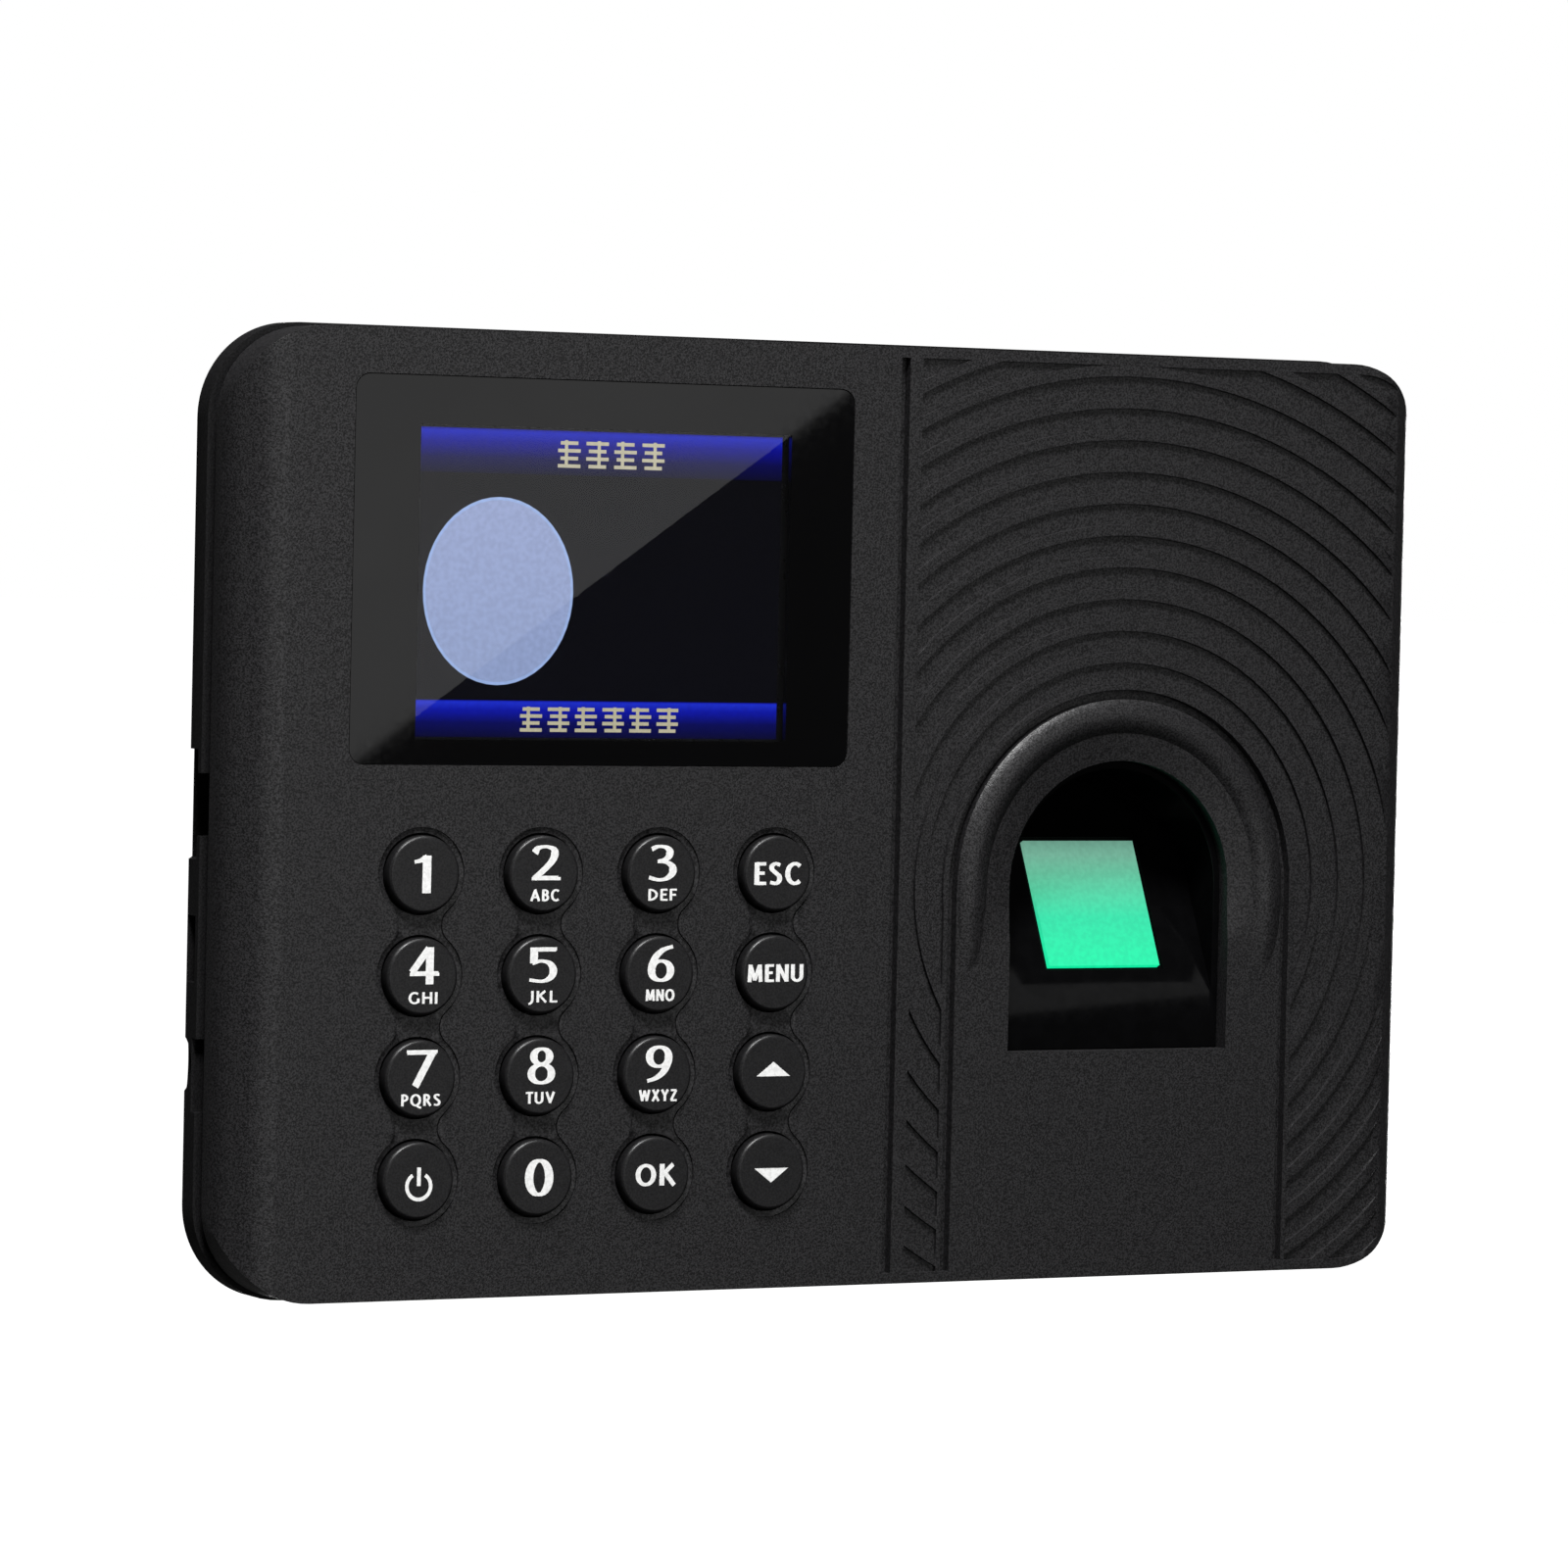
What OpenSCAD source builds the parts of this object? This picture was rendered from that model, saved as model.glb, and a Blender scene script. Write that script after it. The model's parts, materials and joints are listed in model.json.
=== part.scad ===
// Fingerprint scanner terminal with a colour display, a sixteen-key pad and a
// finger recess. +X is to the right seen from the front, +Z is up and the front
// faces -Y. The origin is on the wall, at the middle of the wall plate.

/* [Overall size] */
// Width of the front shell
body_width = 164; // [152:1:200]
// Height of the front shell
body_height = 115; // [110:1:145]
// Distance from the wall to the flat front face
body_depth = 30; // [29:1:40]
// Corner radius of the front outline
corner_radius = 11; // [6:0.5:16]

/* [Front shell] */
// Depth of the front shell's side
front_side = 7.2; // [6.6:0.1:9]
// Radius of the curved left and right ends
end_radius = 6.5; // [4:0.1:6.5]
// Thickness of the front face
face_wall = 2.4; // [2:0.1:3]
// Thickness of the front shell's side
side_wall = 2; // [1.6:0.1:2.4]
// Distance from the outline's edge to the ends of grooves and ripples
groove_margin = 1.3; // [1:0.1:3]

/* [Rear shell] */
// Width of the shadow groove between the two shells
parting_gap = 1.4; // [0.8:0.1:2.5]
// How far the rear shell's rim stands proud of the front shell
rim_proud = 0.5; // [0:0.1:1]
// Depth of the rear shell's straight rim
rim_depth = 3.2; // [2:0.1:4]
// How far the rear shell tapers in towards the wall
back_taper = 9; // [8:0.5:12]
// Thickness of the rear shell
rear_wall = 2; // [1.6:0.1:2.4]
// Gap between the rear shell and the wall
wall_gap = 0.4; // [0.3:0.1:1]

/* [Display] */
// Distance from the left edge to the lens
lens_margin_left = 14.7; // [14.4:0.1:18]
// Distance from the top edge to the lens
lens_margin_top = 5.5; // [5:0.1:9]
// Width of the display lens
lens_width = 66.4; // [60:0.1:67]
// Height of the display lens
lens_height = 45.9; // [43:0.1:46]
// Corner radius of the lens
lens_radius = 1.8; // [0.8:0.1:4]
// Thickness of the lens
lens_thick = 1.2; // [0.8:0.1:1.4]
// Width of the picture
picture_width = 48.96; // [40:0.01:52]
// Height of the picture
picture_height = 36.72; // [30:0.01:38]
// How far the picture sits below the middle of the lens
picture_drop = 1.4; // [0:0.1:2]
// Border of the display panel round the picture
panel_border = 4.2; // [3:0.1:5]
// Thickness of the display panel
panel_thick = 1.4; // [1:0.1:1.8]
// Overall depth of the display frame
frame_depth = 4.4; // [3.6:0.1:4.6]

/* [Keys] */
// Space between two key columns
key_space_x = 6.5; // [4:0.1:7]
// Space between two key rows
key_space_z = 2.9; // [2.2:0.1:3.4]
// Distance from the body's bottom edge to the middle of the keypad
keypad_rise = 32.45; // [31:0.05:36]
// Diameter of a key cap
key_diameter = 9.2; // [7:0.1:11.2]
// How far a key stands proud of the face
key_proud = 1; // [0.6:0.1:1.4]
// How far a key travels when it is pressed
key_travel = 0.8; // [0.4:0.1:1]
// Gap round a key in its hole
key_gap = 0.3; // [0.2:0.05:0.5]
// Width of the retaining flange round a key
key_flange = 0.9; // [0.6:0.1:1.2]
// Width of the shallow recess round a key
track_border = 1; // [0.6:0.1:1.3]
// Width of the recess between two keys of a column
track_neck = 5.6; // [4:0.1:8]
// Depth of the recess
track_depth = 0.3; // [0.2:0.05:0.6]

/* [Finger recess] */
// Distance from the right edge to the middle of the finger recess
recess_margin_right = 43.5; // [40:0.1:48]
// Distance from the bottom edge to the centre of the recess's arch
recess_margin_bottom = 48.7; // [46:0.1:60]
// Inner radius of the recess's arch
recess_radius = 15.8; // [15.4:0.1:19]
// Distance from the arch's centre down to the recess's sill
recess_drop = 20.4; // [19:0.1:24]
// Flat strip between the slope and the ring
ring_set = 0.3; // [0.1:0.1:1]
// Width of the slope round the recess
recess_slope = 3.2; // [2:0.1:4]
// Depth of the slope at the recess's edge
slope_depth = 0.5; // [0.2:0.1:1]
// Width of the raised ring round the recess
ring_width = 4.2; // [3:0.1:5]
// Height of the raised ring
ring_height = 0.8; // [0.4:0.1:1]
// Width of the groove round the raised ring
arch_groove = 1.2; // [0.8:0.1:1.6]
// Depth of the grooves in the face
groove_depth = 1.3; // [0.5:0.1:1.6]
// Width of the groove that divides the face
divider_width = 1.2; // [0.8:0.1:1.6]
// Distance from the recess's middle to the dividing groove
divider_offset = 32.3; // [30:0.1:34]
// Distance from one ripple to the next
ripple_pitch = 3.96; // [3:0.01:6]
// Width of one ripple's hollow
ripple_width = 2.6; // [1.5:0.1:3]
// Depth of one ripple's hollow
ripple_depth = 0.5; // [0.2:0.05:0.6]

/* [Fingerprint sensor] */
// Width of the sensor's window
window_width = 16; // [14:0.1:18]
// Length of the sensor's window along its slope
window_length = 17; // [15:0.1:20.4]
// Lean of the window from upright
window_lean = 26; // [20:1:28]
// Distance from the arch's centre down to the window's middle
window_drop = 2.4; // [2:0.1:4]
// Depth of the window's middle behind the face
window_depth = 7.4; // [7:0.1:8]
// Thickness of the window's glass
window_thick = 4.2; // [3.5:0.1:4.4]
// Depth of the sensor's front rim behind the face
sensor_front = 2.1; // [2:0.1:2.3]
// Thickness of the sensor's rim round the finger scoop
scoop_wall = 0.9; // [0.6:0.1:2]
// Depth of the scoop's back behind the face
scoop_depth = 15.2; // [14:0.1:15.6]
// Depth of the sensor's circuit board behind the face
sensor_board_depth = 17; // [16.5:0.1:17.5]

/* [Circuit boards] */
// Thickness of each circuit board
board_thick = 1.6; // [1:0.1:1.8]
// Depth of the main board's front side behind the face
main_board_depth = 17; // [16.6:0.1:17.4]
// Width of the main board
main_board_width = 91; // [88:1:93]
// Height of the main board
main_board_height = 78; // [76:1:80]
// Gap from the main board to the left edge of the front shell
main_board_inset = 6; // [5.8:0.1:8]
// Depth of the keypad board behind the face
key_board_depth = 7.1; // [7:0.1:7.6]

/* [Sockets] */
// Height of the network socket's middle
network_z = 0.9; // [-1:0.1:2]
// Length of the network socket's mouth
network_length = 12; // [11.8:0.1:12.6]
// Width of the notch for the plug's latch
latch_width = 6.4; // [6:0.1:7]
// Height of the data socket's middle
usb_z = -16.2; // [-17:0.1:-15]
// Length of the data socket's mouth
usb_length = 7.4; // [7.2:0.1:8]
// Height of the power inlet's middle
inlet_z = -29.9; // [-31:0.1:-29]
// Radius of the power inlet's hole
inlet_radius = 3.1; // [2.8:0.05:3.2]

/* [Wall plate] */
// Width of the wall plate
plate_width = 108; // [104:1:112]
// Height of the wall plate
plate_height = 78; // [74:1:82]
// Thickness of the wall plate
plate_thick = 1.2; // [1:0.1:1.6]
// Distance between the wall plate's holes, across
plate_holes_x = 80; // [60:1:84]
// Distance between the wall plate's holes, up and down
plate_holes_z = 50; // [40:1:54]
// Diameter of the wall plate's holes
plate_hole = 4.4; // [3:0.1:5.5]
// Depth of the hollow in the rear shell that takes the wall plate
plate_recess = 6; // [5:0.1:7]

/* [Hidden] */
$fn = 64;
KEY_NAMES = [
    ["key_1", "key_2", "key_3", "key_esc"],
    ["key_4", "key_5", "key_6", "key_menu"],
    ["key_7", "key_8", "key_9", "key_up"],
    ["key_power", "key_0", "key_ok", "key_down"]
];

// Small clearances and overlaps shared by all parts
seat_gap = 0.1;
slide_gap = 0.15;
fit_gap = 0.3;
cut_past = 1;
join = 0.2;
sliver = 0.01;
edge_arc = 32;
least_corner = 0.8;
fine_arc = 120;

// Screws, all with a plain shank in a hole that clears it
screw_radius = 1.45;
screw_hole = 1.5;
screw_head_radius = 2.6;
screw_head = 1.8;
boss_radius = 2.8;
well_radius = 3.9;
screw_bite = 6;
small_screw_radius = 0.9;
small_screw_hole = 0.95;
small_head_radius = 1.7;
small_head = 1.1;
small_boss_radius = 2.2;
small_screw_bite = 4;
slot_share = 1.4;

// Places of the main groups on the face
left_edge = -body_width / 2;
right_edge = body_width / 2;
top_edge = body_height / 2;
bottom_edge = -body_height / 2;
lens_x = left_edge + lens_margin_left + lens_width / 2;
lens_z = top_edge - lens_margin_top - lens_height / 2;
picture_z = lens_z - picture_drop;
recess_x = right_edge - recess_margin_right;
recess_z = bottom_edge + recess_margin_bottom;
divider_x = recess_x - divider_offset;
key_rows = 4;
key_columns = 4;
key_radius = key_diameter / 2;
track_radius = key_radius + track_border;
key_pitch_x = key_diameter + key_space_x;
key_pitch_z = key_diameter + key_space_z;
function key_x(column) = lens_x + (column - (key_columns - 1) / 2) * key_pitch_x;
key_field_z = bottom_edge + keypad_rise;
function key_z(row) = key_field_z + ((key_rows - 1) / 2 - row) * key_pitch_z;

// Depths, measured back from the flat front face
rim_front = front_side + parting_gap;
rim_back = rim_front + rim_depth;
shell_back = body_depth - wall_gap;
recess_floor = shell_back - plate_recess;
inner_floor = recess_floor - rear_wall;
tongue_front = 5.5;
tongue_inset = side_wall + 0.2;
tongue_wall = 1.4;
inner_inset = tongue_inset + tongue_wall;

// Screws that hold the two shells together
shell_screw_inset = 12;
shell_screw_drop = 12;
shell_screw_places = [
    for (sx = [-1, 1], sz = [-1, 1])
        [sx * (body_width / 2 - shell_screw_inset), sz * (body_height / 2 - shell_screw_drop)]
];
boss_end = 12;
well_floor = 16;

// The display stack
pocket_depth = lens_thick + seat_gap;
lens_gap = 0.1;
view_margin = 1.6;
panel_front = face_wall + join;
panel_width = picture_width + 2 * panel_border;
panel_height = picture_height + 2 * panel_border;
frame_wall = 1.1;
frame_width = panel_width + 2 * frame_wall;
frame_height = panel_height + 2 * frame_wall;
frame_back = panel_front + frame_depth;
retainer_height = 10;
retainer_thick = 1;
retainer_corner = 2;
retainer_reach = 4.2;
display_ribbon_width = 20;
display_ribbon_z = picture_z - frame_height / 2 + 3;
ribbon_thick = 0.3;
retainer_places = [for (side = [-1, 1]) [lens_x + side * (frame_width / 2 + retainer_reach), picture_z]];

// The keypad stack
flange_front = face_wall + slide_gap;
flange_thick = 0.8;
stem_radius = 2;
stem_length = 0.9;
stem_end = flange_front + flange_thick + stem_length;
dome_gap = 0.3;
dome_radius = 3.2;
dome_front = stem_end + key_travel + dome_gap;
mat_thick = 0.7;
mat_front = key_board_depth - seat_gap - mat_thick;
mat_border = dome_radius + 1.4;
key_field_width = (key_columns - 1) * key_pitch_x + 2 * mat_border;
key_field_height = (key_rows - 1) * key_pitch_z + 2 * mat_border;
key_edge = 0.5;
key_ribbon_width = 16;
key_ribbon_z = 8 - main_board_height / 2;
keypad_screw_places = [
    for (sx = [-1, 1], row = [0, key_rows - 2])
        [lens_x + sx * key_pitch_x, (key_z(row) + key_z(row + 1)) / 2]
];

// The finger recess
slope_radius = recess_radius + recess_slope;
ring_radius = slope_radius + ring_set + ring_width;
groove_radius = ring_radius + arch_groove;
ring_fade = 11.2;
slope_fade = 8.5;
sensor_radius = recess_radius - slide_gap;
sensor_sill = recess_drop - slide_gap;
sensor_flange = 1.6;
sensor_flange_thick = 1.4;
sensor_flange_front = face_wall + seat_gap;
window_z = recess_z - window_drop;
cavity_width = window_width + 3;
cavity_length = window_length + 1.4;
prism_step = 2.5;
sensor_ear = 4;
window_rim = 0.5;
window_set = 0.4;
prism_flange = 1;
led_spread = 6;
led_drop = 10;
led_radius = 1.2;
led_length = 2;
camera_drop = 5.6;
camera_size = 8;
camera_base = 1.6;
camera_lens_radius = 3;
camera_length = 4;
cable_z = recess_z + 8;
cable_width = 6;
cable_thick = 0.6;
cable_overlap = 6;
sensor_screw_places = [
    for (side = [-1, 1]) [recess_x + side * (recess_radius + sensor_ear), recess_z - window_drop]
];

// Ripples fill the right part of the face out to its furthest corner
ripple_first = groove_radius + ripple_pitch - arch_groove / 2;
ripple_reach = norm([recess_margin_right, body_height - recess_margin_bottom])
    + norm([divider_offset, 0]) / 2;
ripple_count = ceil((ripple_reach - ripple_first) / ripple_pitch);
field_left = divider_x + divider_width / 2 + 1.8;

// Boards and what stands on them
main_back = main_board_depth + board_thick;
main_x = left_edge + main_board_inset + main_board_width / 2;
board_screw_inset = 5;
board_screw_left = 16;
board_screw_places = [
    for (x = [left_edge + main_board_inset + board_screw_left,
              left_edge + main_board_inset + main_board_width - board_screw_inset],
         sz = [-1, 1])
        [x, sz * (main_board_height / 2 - board_screw_inset)]
];
processor_size = [14, 14];
processor_place = [lens_x - 8, -4];
processor_height = 1.4;
memory_size = [8, 10];
memory_place = [lens_x - 22, -10];
memory_step = 14;
memory_height = 1.1;
capacitor_radius = 3;
capacitor_height = 5;
capacitor_step = 9;
capacitor_gap = 3;
connector_height = 3;
connector_border = 1;
connector_depth = 4;
capacitor_place = [
    left_edge + main_board_inset + 20,
    display_ribbon_z + connector_depth / 2 + capacitor_gap + capacitor_radius
];
wire_connector = [6, 8];
wire_connector_place = [main_x + main_board_width / 2 - 14, 20];
wire_radius = 0.5;
wire_height = 1.6;
socket_face = left_edge + 5;
socket_back = 2;
network_wall = 2;
network_height = 9.7;
network_depth = 11;
network_mouth = 6.6;
latch_height = 2;
network_floor = 0.4;
network_contact = 0.4;
contact_count = 8;
contact_pitch = 1.02;
contact_set = 3;
contact_height = 1;
usb_shell = 0.3;
usb_height = 2.6;
usb_depth = 6;
usb_board_depth = 12;
usb_board_thick = 1;
usb_board_size = [11, 12];
usb_board_set = 0.5;
usb_header_width = 2.5;
usb_header_inset = 1;
usb_tongue_margin = 1.7;
inlet_width = 9;
inlet_height = 7;
inlet_depth = 13;
side_cut_reach = inner_inset + 7;
inlet_pin = 0.9;
plug_relief = 0.5;
pry_length = 8.7;
pry_depth = 1.2;
pry_drop = 1.2;
pry_in = 1.6;
coin_radius = 10;
coin_thick = 3.2;
coin_border = 1.5;
coin_floor = 1;
coin_holder_height = 4.2;
coin_place = [lens_x + 14, -12];
speaker_radius = 12;
speaker_depth = 5;
speaker_rim = 2;
speaker_rim_front = inner_floor - speaker_rim - seat_gap;
speaker_z = 25;
speaker_hole = 1;
speaker_holes = 5;
speaker_hole_turn = 60;

// The wall plate and its hooks
hook_width = 8;
hook_lip = 3;
hook_x = 28;
hook_z = 15;
hook_reach = plate_recess + rear_wall + wall_gap + fit_gap + plate_thick;
hook_blank = hook_reach + hook_lip;
hook_sit = 0.4;
slot_clear = 0.6;
slot_height = plate_thick + hook_lip + 2 * slot_clear;
speaker_x = hook_x + hook_width / 2 + speaker_radius + 2.5;
plate_corner = 4;
plate_window = [44, 24];
plate_window_corner = 5;
lock_x = 0;
lock_width = 12;
lock_out = 3.9;
lock_flange = plate_recess - join / 2;
lock_tunnel = screw_head_radius + fit_gap;
lock_walls = 2 * (lock_tunnel + 1.4);
lock_slot = 0.8;
lock_seat_z = -plate_height / 2 - fit_gap - rear_wall;

// ---------------------------------------------------------------- helpers

// A flat shape, drawn in X and Z, made solid between two depths behind the face
module slab(front, back) {
    translate([0, back - body_depth, 0])
        rotate([90, 0, 0])
            linear_extrude(height = back - front)
                children();
}

// A round bar along the depth
module rod(place, radius, front, back) {
    translate([place[0], back - body_depth, place[1]])
        rotate([90, 0, 0])
            cylinder(h = back - front, r = radius);
}

// A box between two depths, centred on a place on the face
module block(place, size, front, back) {
    translate([place[0] - size[0] / 2, front - body_depth, place[1] - size[1] / 2])
        cube([size[0], back - front, size[1]]);
}

module rounded(width, height, radius) {
    square([width - 2 * radius, height], center = true);
    square([width, height - 2 * radius], center = true);
    for (sx = [-1, 1], sz = [-1, 1])
        translate([sx * (width / 2 - radius), sz * (height / 2 - radius)])
            circle(r = radius);
}

// The terminal's outline, grown or shrunk by a distance
module outline(grow) {
    rounded(body_width + 2 * grow, body_height + 2 * grow, max(corner_radius + grow, least_corner));
}

// Plan of the front shell: flat in front, with round left and right ends
module end_profile(side_inset, face_inset, back) {
    radius = end_radius - face_inset;
    width = body_width - 2 * side_inset;
    translate([-width / 2 + radius, face_inset - body_depth])
        square([width - 2 * radius, back - face_inset]);
    translate([-width / 2, face_inset - body_depth + radius])
        square([width, back - face_inset - radius]);
    for (side = [-1, 1])
        translate([side * (width / 2 - radius), face_inset - body_depth + radius])
            circle(r = radius);
}

module end_prism(side_inset, face_inset, back) {
    translate([0, 0, -body_height])
        linear_extrude(height = 2 * body_height)
            end_profile(side_inset, face_inset, back);
}

// A doorway shape: a half circle on a straight-sided leg
module arch(radius, leg) {
    circle(r = radius);
    translate([-radius, -leg])
        square([2 * radius, leg]);
}

module at_recess() {
    translate([recess_x, recess_z])
        children();
}

// Moves to the window's own plane: X across, Y up the slope, Z out towards the finger
module at_window() {
    translate([recess_x, window_depth - body_depth, window_z])
        rotate([90 - window_lean, 0, 0])
            children();
}

module screws(places, radius, head_radius, head, tip, seat) {
    for (place = places) {
        rod(place, radius, tip, seat + join);
        difference() {
            rod(place, head_radius, seat, seat + head);
            block(place, [head_radius * slot_share, radius / 2], seat + head / 2, seat + head + join);
        }
    }
}

// ---------------------------------------------------------------- shells

module field_2d() {
    intersection() {
        rounded(body_width, body_height - 2 * groove_margin, corner_radius - groove_margin);
        difference() {
            translate([field_left, bottom_edge])
                square([right_edge + corner_radius - field_left, body_height]);
            at_recess()
                arch(groove_radius + arch_groove / 2, body_height);
        }
    }
}

module ripples_2d() {
    intersection() {
        field_2d();
        at_recess()
            for (i = [0 : ripple_count - 1]) {
                outer = ripple_first + i * ripple_pitch;
                difference() {
                    circle(r = outer, $fn = fine_arc);
                    circle(r = outer - ripple_width, $fn = fine_arc);
                }
            }
    }
}

// Round recesses at the keys, joined by necks along each column
module tracks_2d() {
    for (column = [0 : key_columns - 1]) {
        for (row = [0 : key_rows - 1])
            translate([key_x(column), key_z(row)])
                circle(r = track_radius);
        for (row = [0 : key_rows - 2])
            translate([key_x(column), (key_z(row) + key_z(row + 1)) / 2])
                track_neck_2d();
    }
}

// A neck whose hollow sides run smoothly into the round recesses above and below
module track_neck_2d() {
    side = (pow(track_neck / 2, 2) + pow(key_pitch_z / 2, 2) - pow(track_radius, 2))
        / (2 * track_radius - track_neck);
    middle = track_neck / 2 + side;
    share = track_radius / (track_radius + side);
    difference() {
        square([2 * middle * share, key_pitch_z * (1 - share) + join], center = true);
        for (sx = [-1, 1])
            translate([sx * middle, 0])
                circle(r = side);
    }
}

module grooves() {
    slab(-cut_past, groove_depth)
        translate([divider_x, 0])
            square([divider_width, body_height - 2 * groove_margin], center = true);
    slab(-cut_past, groove_depth)
        intersection() {
            square([2 * body_width, body_height - 2 * groove_margin], center = true);
            difference() {
                at_recess()
                    arch(groove_radius, body_height);
                at_recess()
                    arch(ring_radius, 2 * body_height);
            }
        }
}

// Sweeps a section round the arch. Its x is the distance from the arch's centre and its
// y the height above the face.
module swept_arch() {
    translate([recess_x, -body_depth, recess_z])
        rotate([90, 0, 0])
            rotate_extrude(angle = 180)
                children();
}

// Sweeps the same section on down both legs, along an arc that sinks into the face by
// drop over a length of fade
module swept_legs(fade, drop) {
    bend = (pow(fade, 2) + pow(drop, 2)) / (2 * drop);
    translate([recess_x, bend - body_depth, recess_z])
        for (side = [0, 1])
            mirror([side, 0, 0])
                rotate([-90, 0, 0])
                    rotate([0, 90, 0])
                        rotate_extrude(angle = asin(fade / bend))
                            translate([bend, 0])
                                mirror([1, 0])
                                    rotate(90)
                                        children();
}

module raised_ring() {
    swept_arch()
        ring_section();
    swept_legs(ring_fade, ring_height + join)
        ring_section();
}

module ring_section() {
    bulge = (pow(ring_width / 2, 2) + pow(ring_height, 2)) / (2 * ring_height);
    translate([slope_radius + ring_set + ring_width / 2, 0])
        intersection() {
            translate([0, ring_height - bulge])
                circle(r = bulge);
            translate([-ring_width, -face_wall / 2])
                square([2 * ring_width, face_wall]);
        }
}

// The opening, with a slope round it that rises back to the face along both legs
module recess_opening() {
    slab(-2 * cut_past, face_wall + cut_past)
        at_recess()
            arch(recess_radius, recess_drop);
    swept_arch()
        slope_section();
    translate([0, -2 * body_depth, 0])
        mirror([0, 1, 0])
            swept_legs(slope_fade, slope_depth + join)
                mirror([0, 1])
                    slope_section();
}

module slope_section() {
    rise = slope_depth / recess_slope;
    polygon([
        [recess_radius - cut_past, -slope_depth - cut_past * rise],
        [slope_radius, 0],
        [slope_radius, cut_past],
        [recess_radius - cut_past, cut_past]
    ]);
}

module front_shell() {
    color([0.13, 0.13, 0.14])
        difference() {
            union() {
                difference() {
                    intersection() {
                        slab(-cut_past, front_side)
                            outline(0);
                        end_prism(0, 0, front_side);
                    }
                    intersection() {
                        slab(face_wall, front_side + cut_past)
                            outline(-side_wall);
                        end_prism(side_wall, face_wall, front_side + cut_past);
                    }
                }
                raised_ring();
                for (place = shell_screw_places)
                    rod(place, boss_radius, face_wall - join, boss_end);
                for (place = retainer_places)
                    rod(place, small_boss_radius, face_wall - join, frame_back);
                for (place = keypad_screw_places)
                    rod(place, small_boss_radius, face_wall - join, key_board_depth);
                for (place = sensor_screw_places)
                    rod(
                        place, small_boss_radius,
                        face_wall - join, sensor_flange_front + sensor_flange_thick
                    );
            }
            recess_opening();
            grooves();
            slab(-cut_past, ripple_depth)
                ripples_2d();
            slab(-cut_past, track_depth)
                tracks_2d();
            for (row = [0 : key_rows - 1], column = [0 : key_columns - 1])
                rod(
                    [key_x(column), key_z(row)], key_radius + key_gap,
                    -cut_past, face_wall + cut_past
                );
            slab(-cut_past, pocket_depth)
                translate([lens_x, lens_z])
                    rounded(
                        lens_width + 2 * seat_gap, lens_height + 2 * seat_gap,
                        lens_radius + seat_gap
                    );
            slab(-cut_past, face_wall + cut_past)
                translate([lens_x, picture_z])
                    square(
                        [picture_width + 2 * view_margin, picture_height + 2 * view_margin],
                        center = true
                    );
            for (place = shell_screw_places)
                rod(place, screw_hole, boss_end - screw_bite, boss_end + cut_past);
            for (place = retainer_places)
                rod(place, small_screw_hole, face_wall + join, frame_back + cut_past);
            for (place = keypad_screw_places)
                rod(place, small_screw_hole, face_wall + join, key_board_depth + cut_past);
            for (place = sensor_screw_places)
                rod(place, small_screw_hole, face_wall + join, body_depth);
        }
}

// The rear shell's body narrows towards the wall
module rear_taper(inset, front, back) {
    hull() {
        slab(front, front + sliver)
            outline(rim_proud - inset);
        slab(back - sliver, back)
            outline(rim_proud - back_taper - inset);
    }
}

module recess_box(grow, front) {
    block(
        [0, 0],
        [plate_width + 2 * fit_gap + 2 * grow, plate_height + 2 * fit_gap + 2 * grow],
        front,
        shell_back + (grow > 0 ? -join : cut_past)
    );
}

// The shell is put over the hooks and then lowered, so each lip ends up behind the floor
module hook_slots() {
    for (sx = [-1, 1], sz = [-1, 1])
        block(
            [sx * hook_x, sz * hook_z + plate_thick / 2 + hook_sit - slot_height / 2],
            [hook_width + 2 * slot_clear, slot_height],
            inner_floor - cut_past,
            recess_floor + cut_past
        );
}

// Openings for the sockets in the left side, and the notch that helps to open the case
module socket_windows() {
    mouth_back = main_board_depth - network_floor;
    side_cut(network_z, mouth_back - network_mouth - plug_relief, mouth_back + plug_relief,
        network_length + 2 * plug_relief);
    side_cut(network_z, mouth_back - network_mouth - latch_height - plug_relief, mouth_back,
        latch_width + 2 * plug_relief);
    side_cut(usb_z, usb_board_depth - usb_height, usb_board_depth - usb_shell,
        usb_length + plug_relief);
    translate([left_edge - cut_past, main_board_depth - inlet_height / 2 - body_depth, inlet_z])
        rotate([0, 90, 0])
            cylinder(h = side_cut_reach, r = inlet_radius + plug_relief);
    block(
        [left_edge - rim_proud, inlet_z - pry_drop], [2 * pry_in, pry_length],
        rim_front - cut_past / 2, rim_front + pry_depth
    );
}

// A slot through the left side, between two depths
module side_cut(z, front, back, length) {
    translate([left_edge - cut_past, front - body_depth, z - length / 2])
        cube([side_cut_reach, back - front, length]);
}

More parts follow.
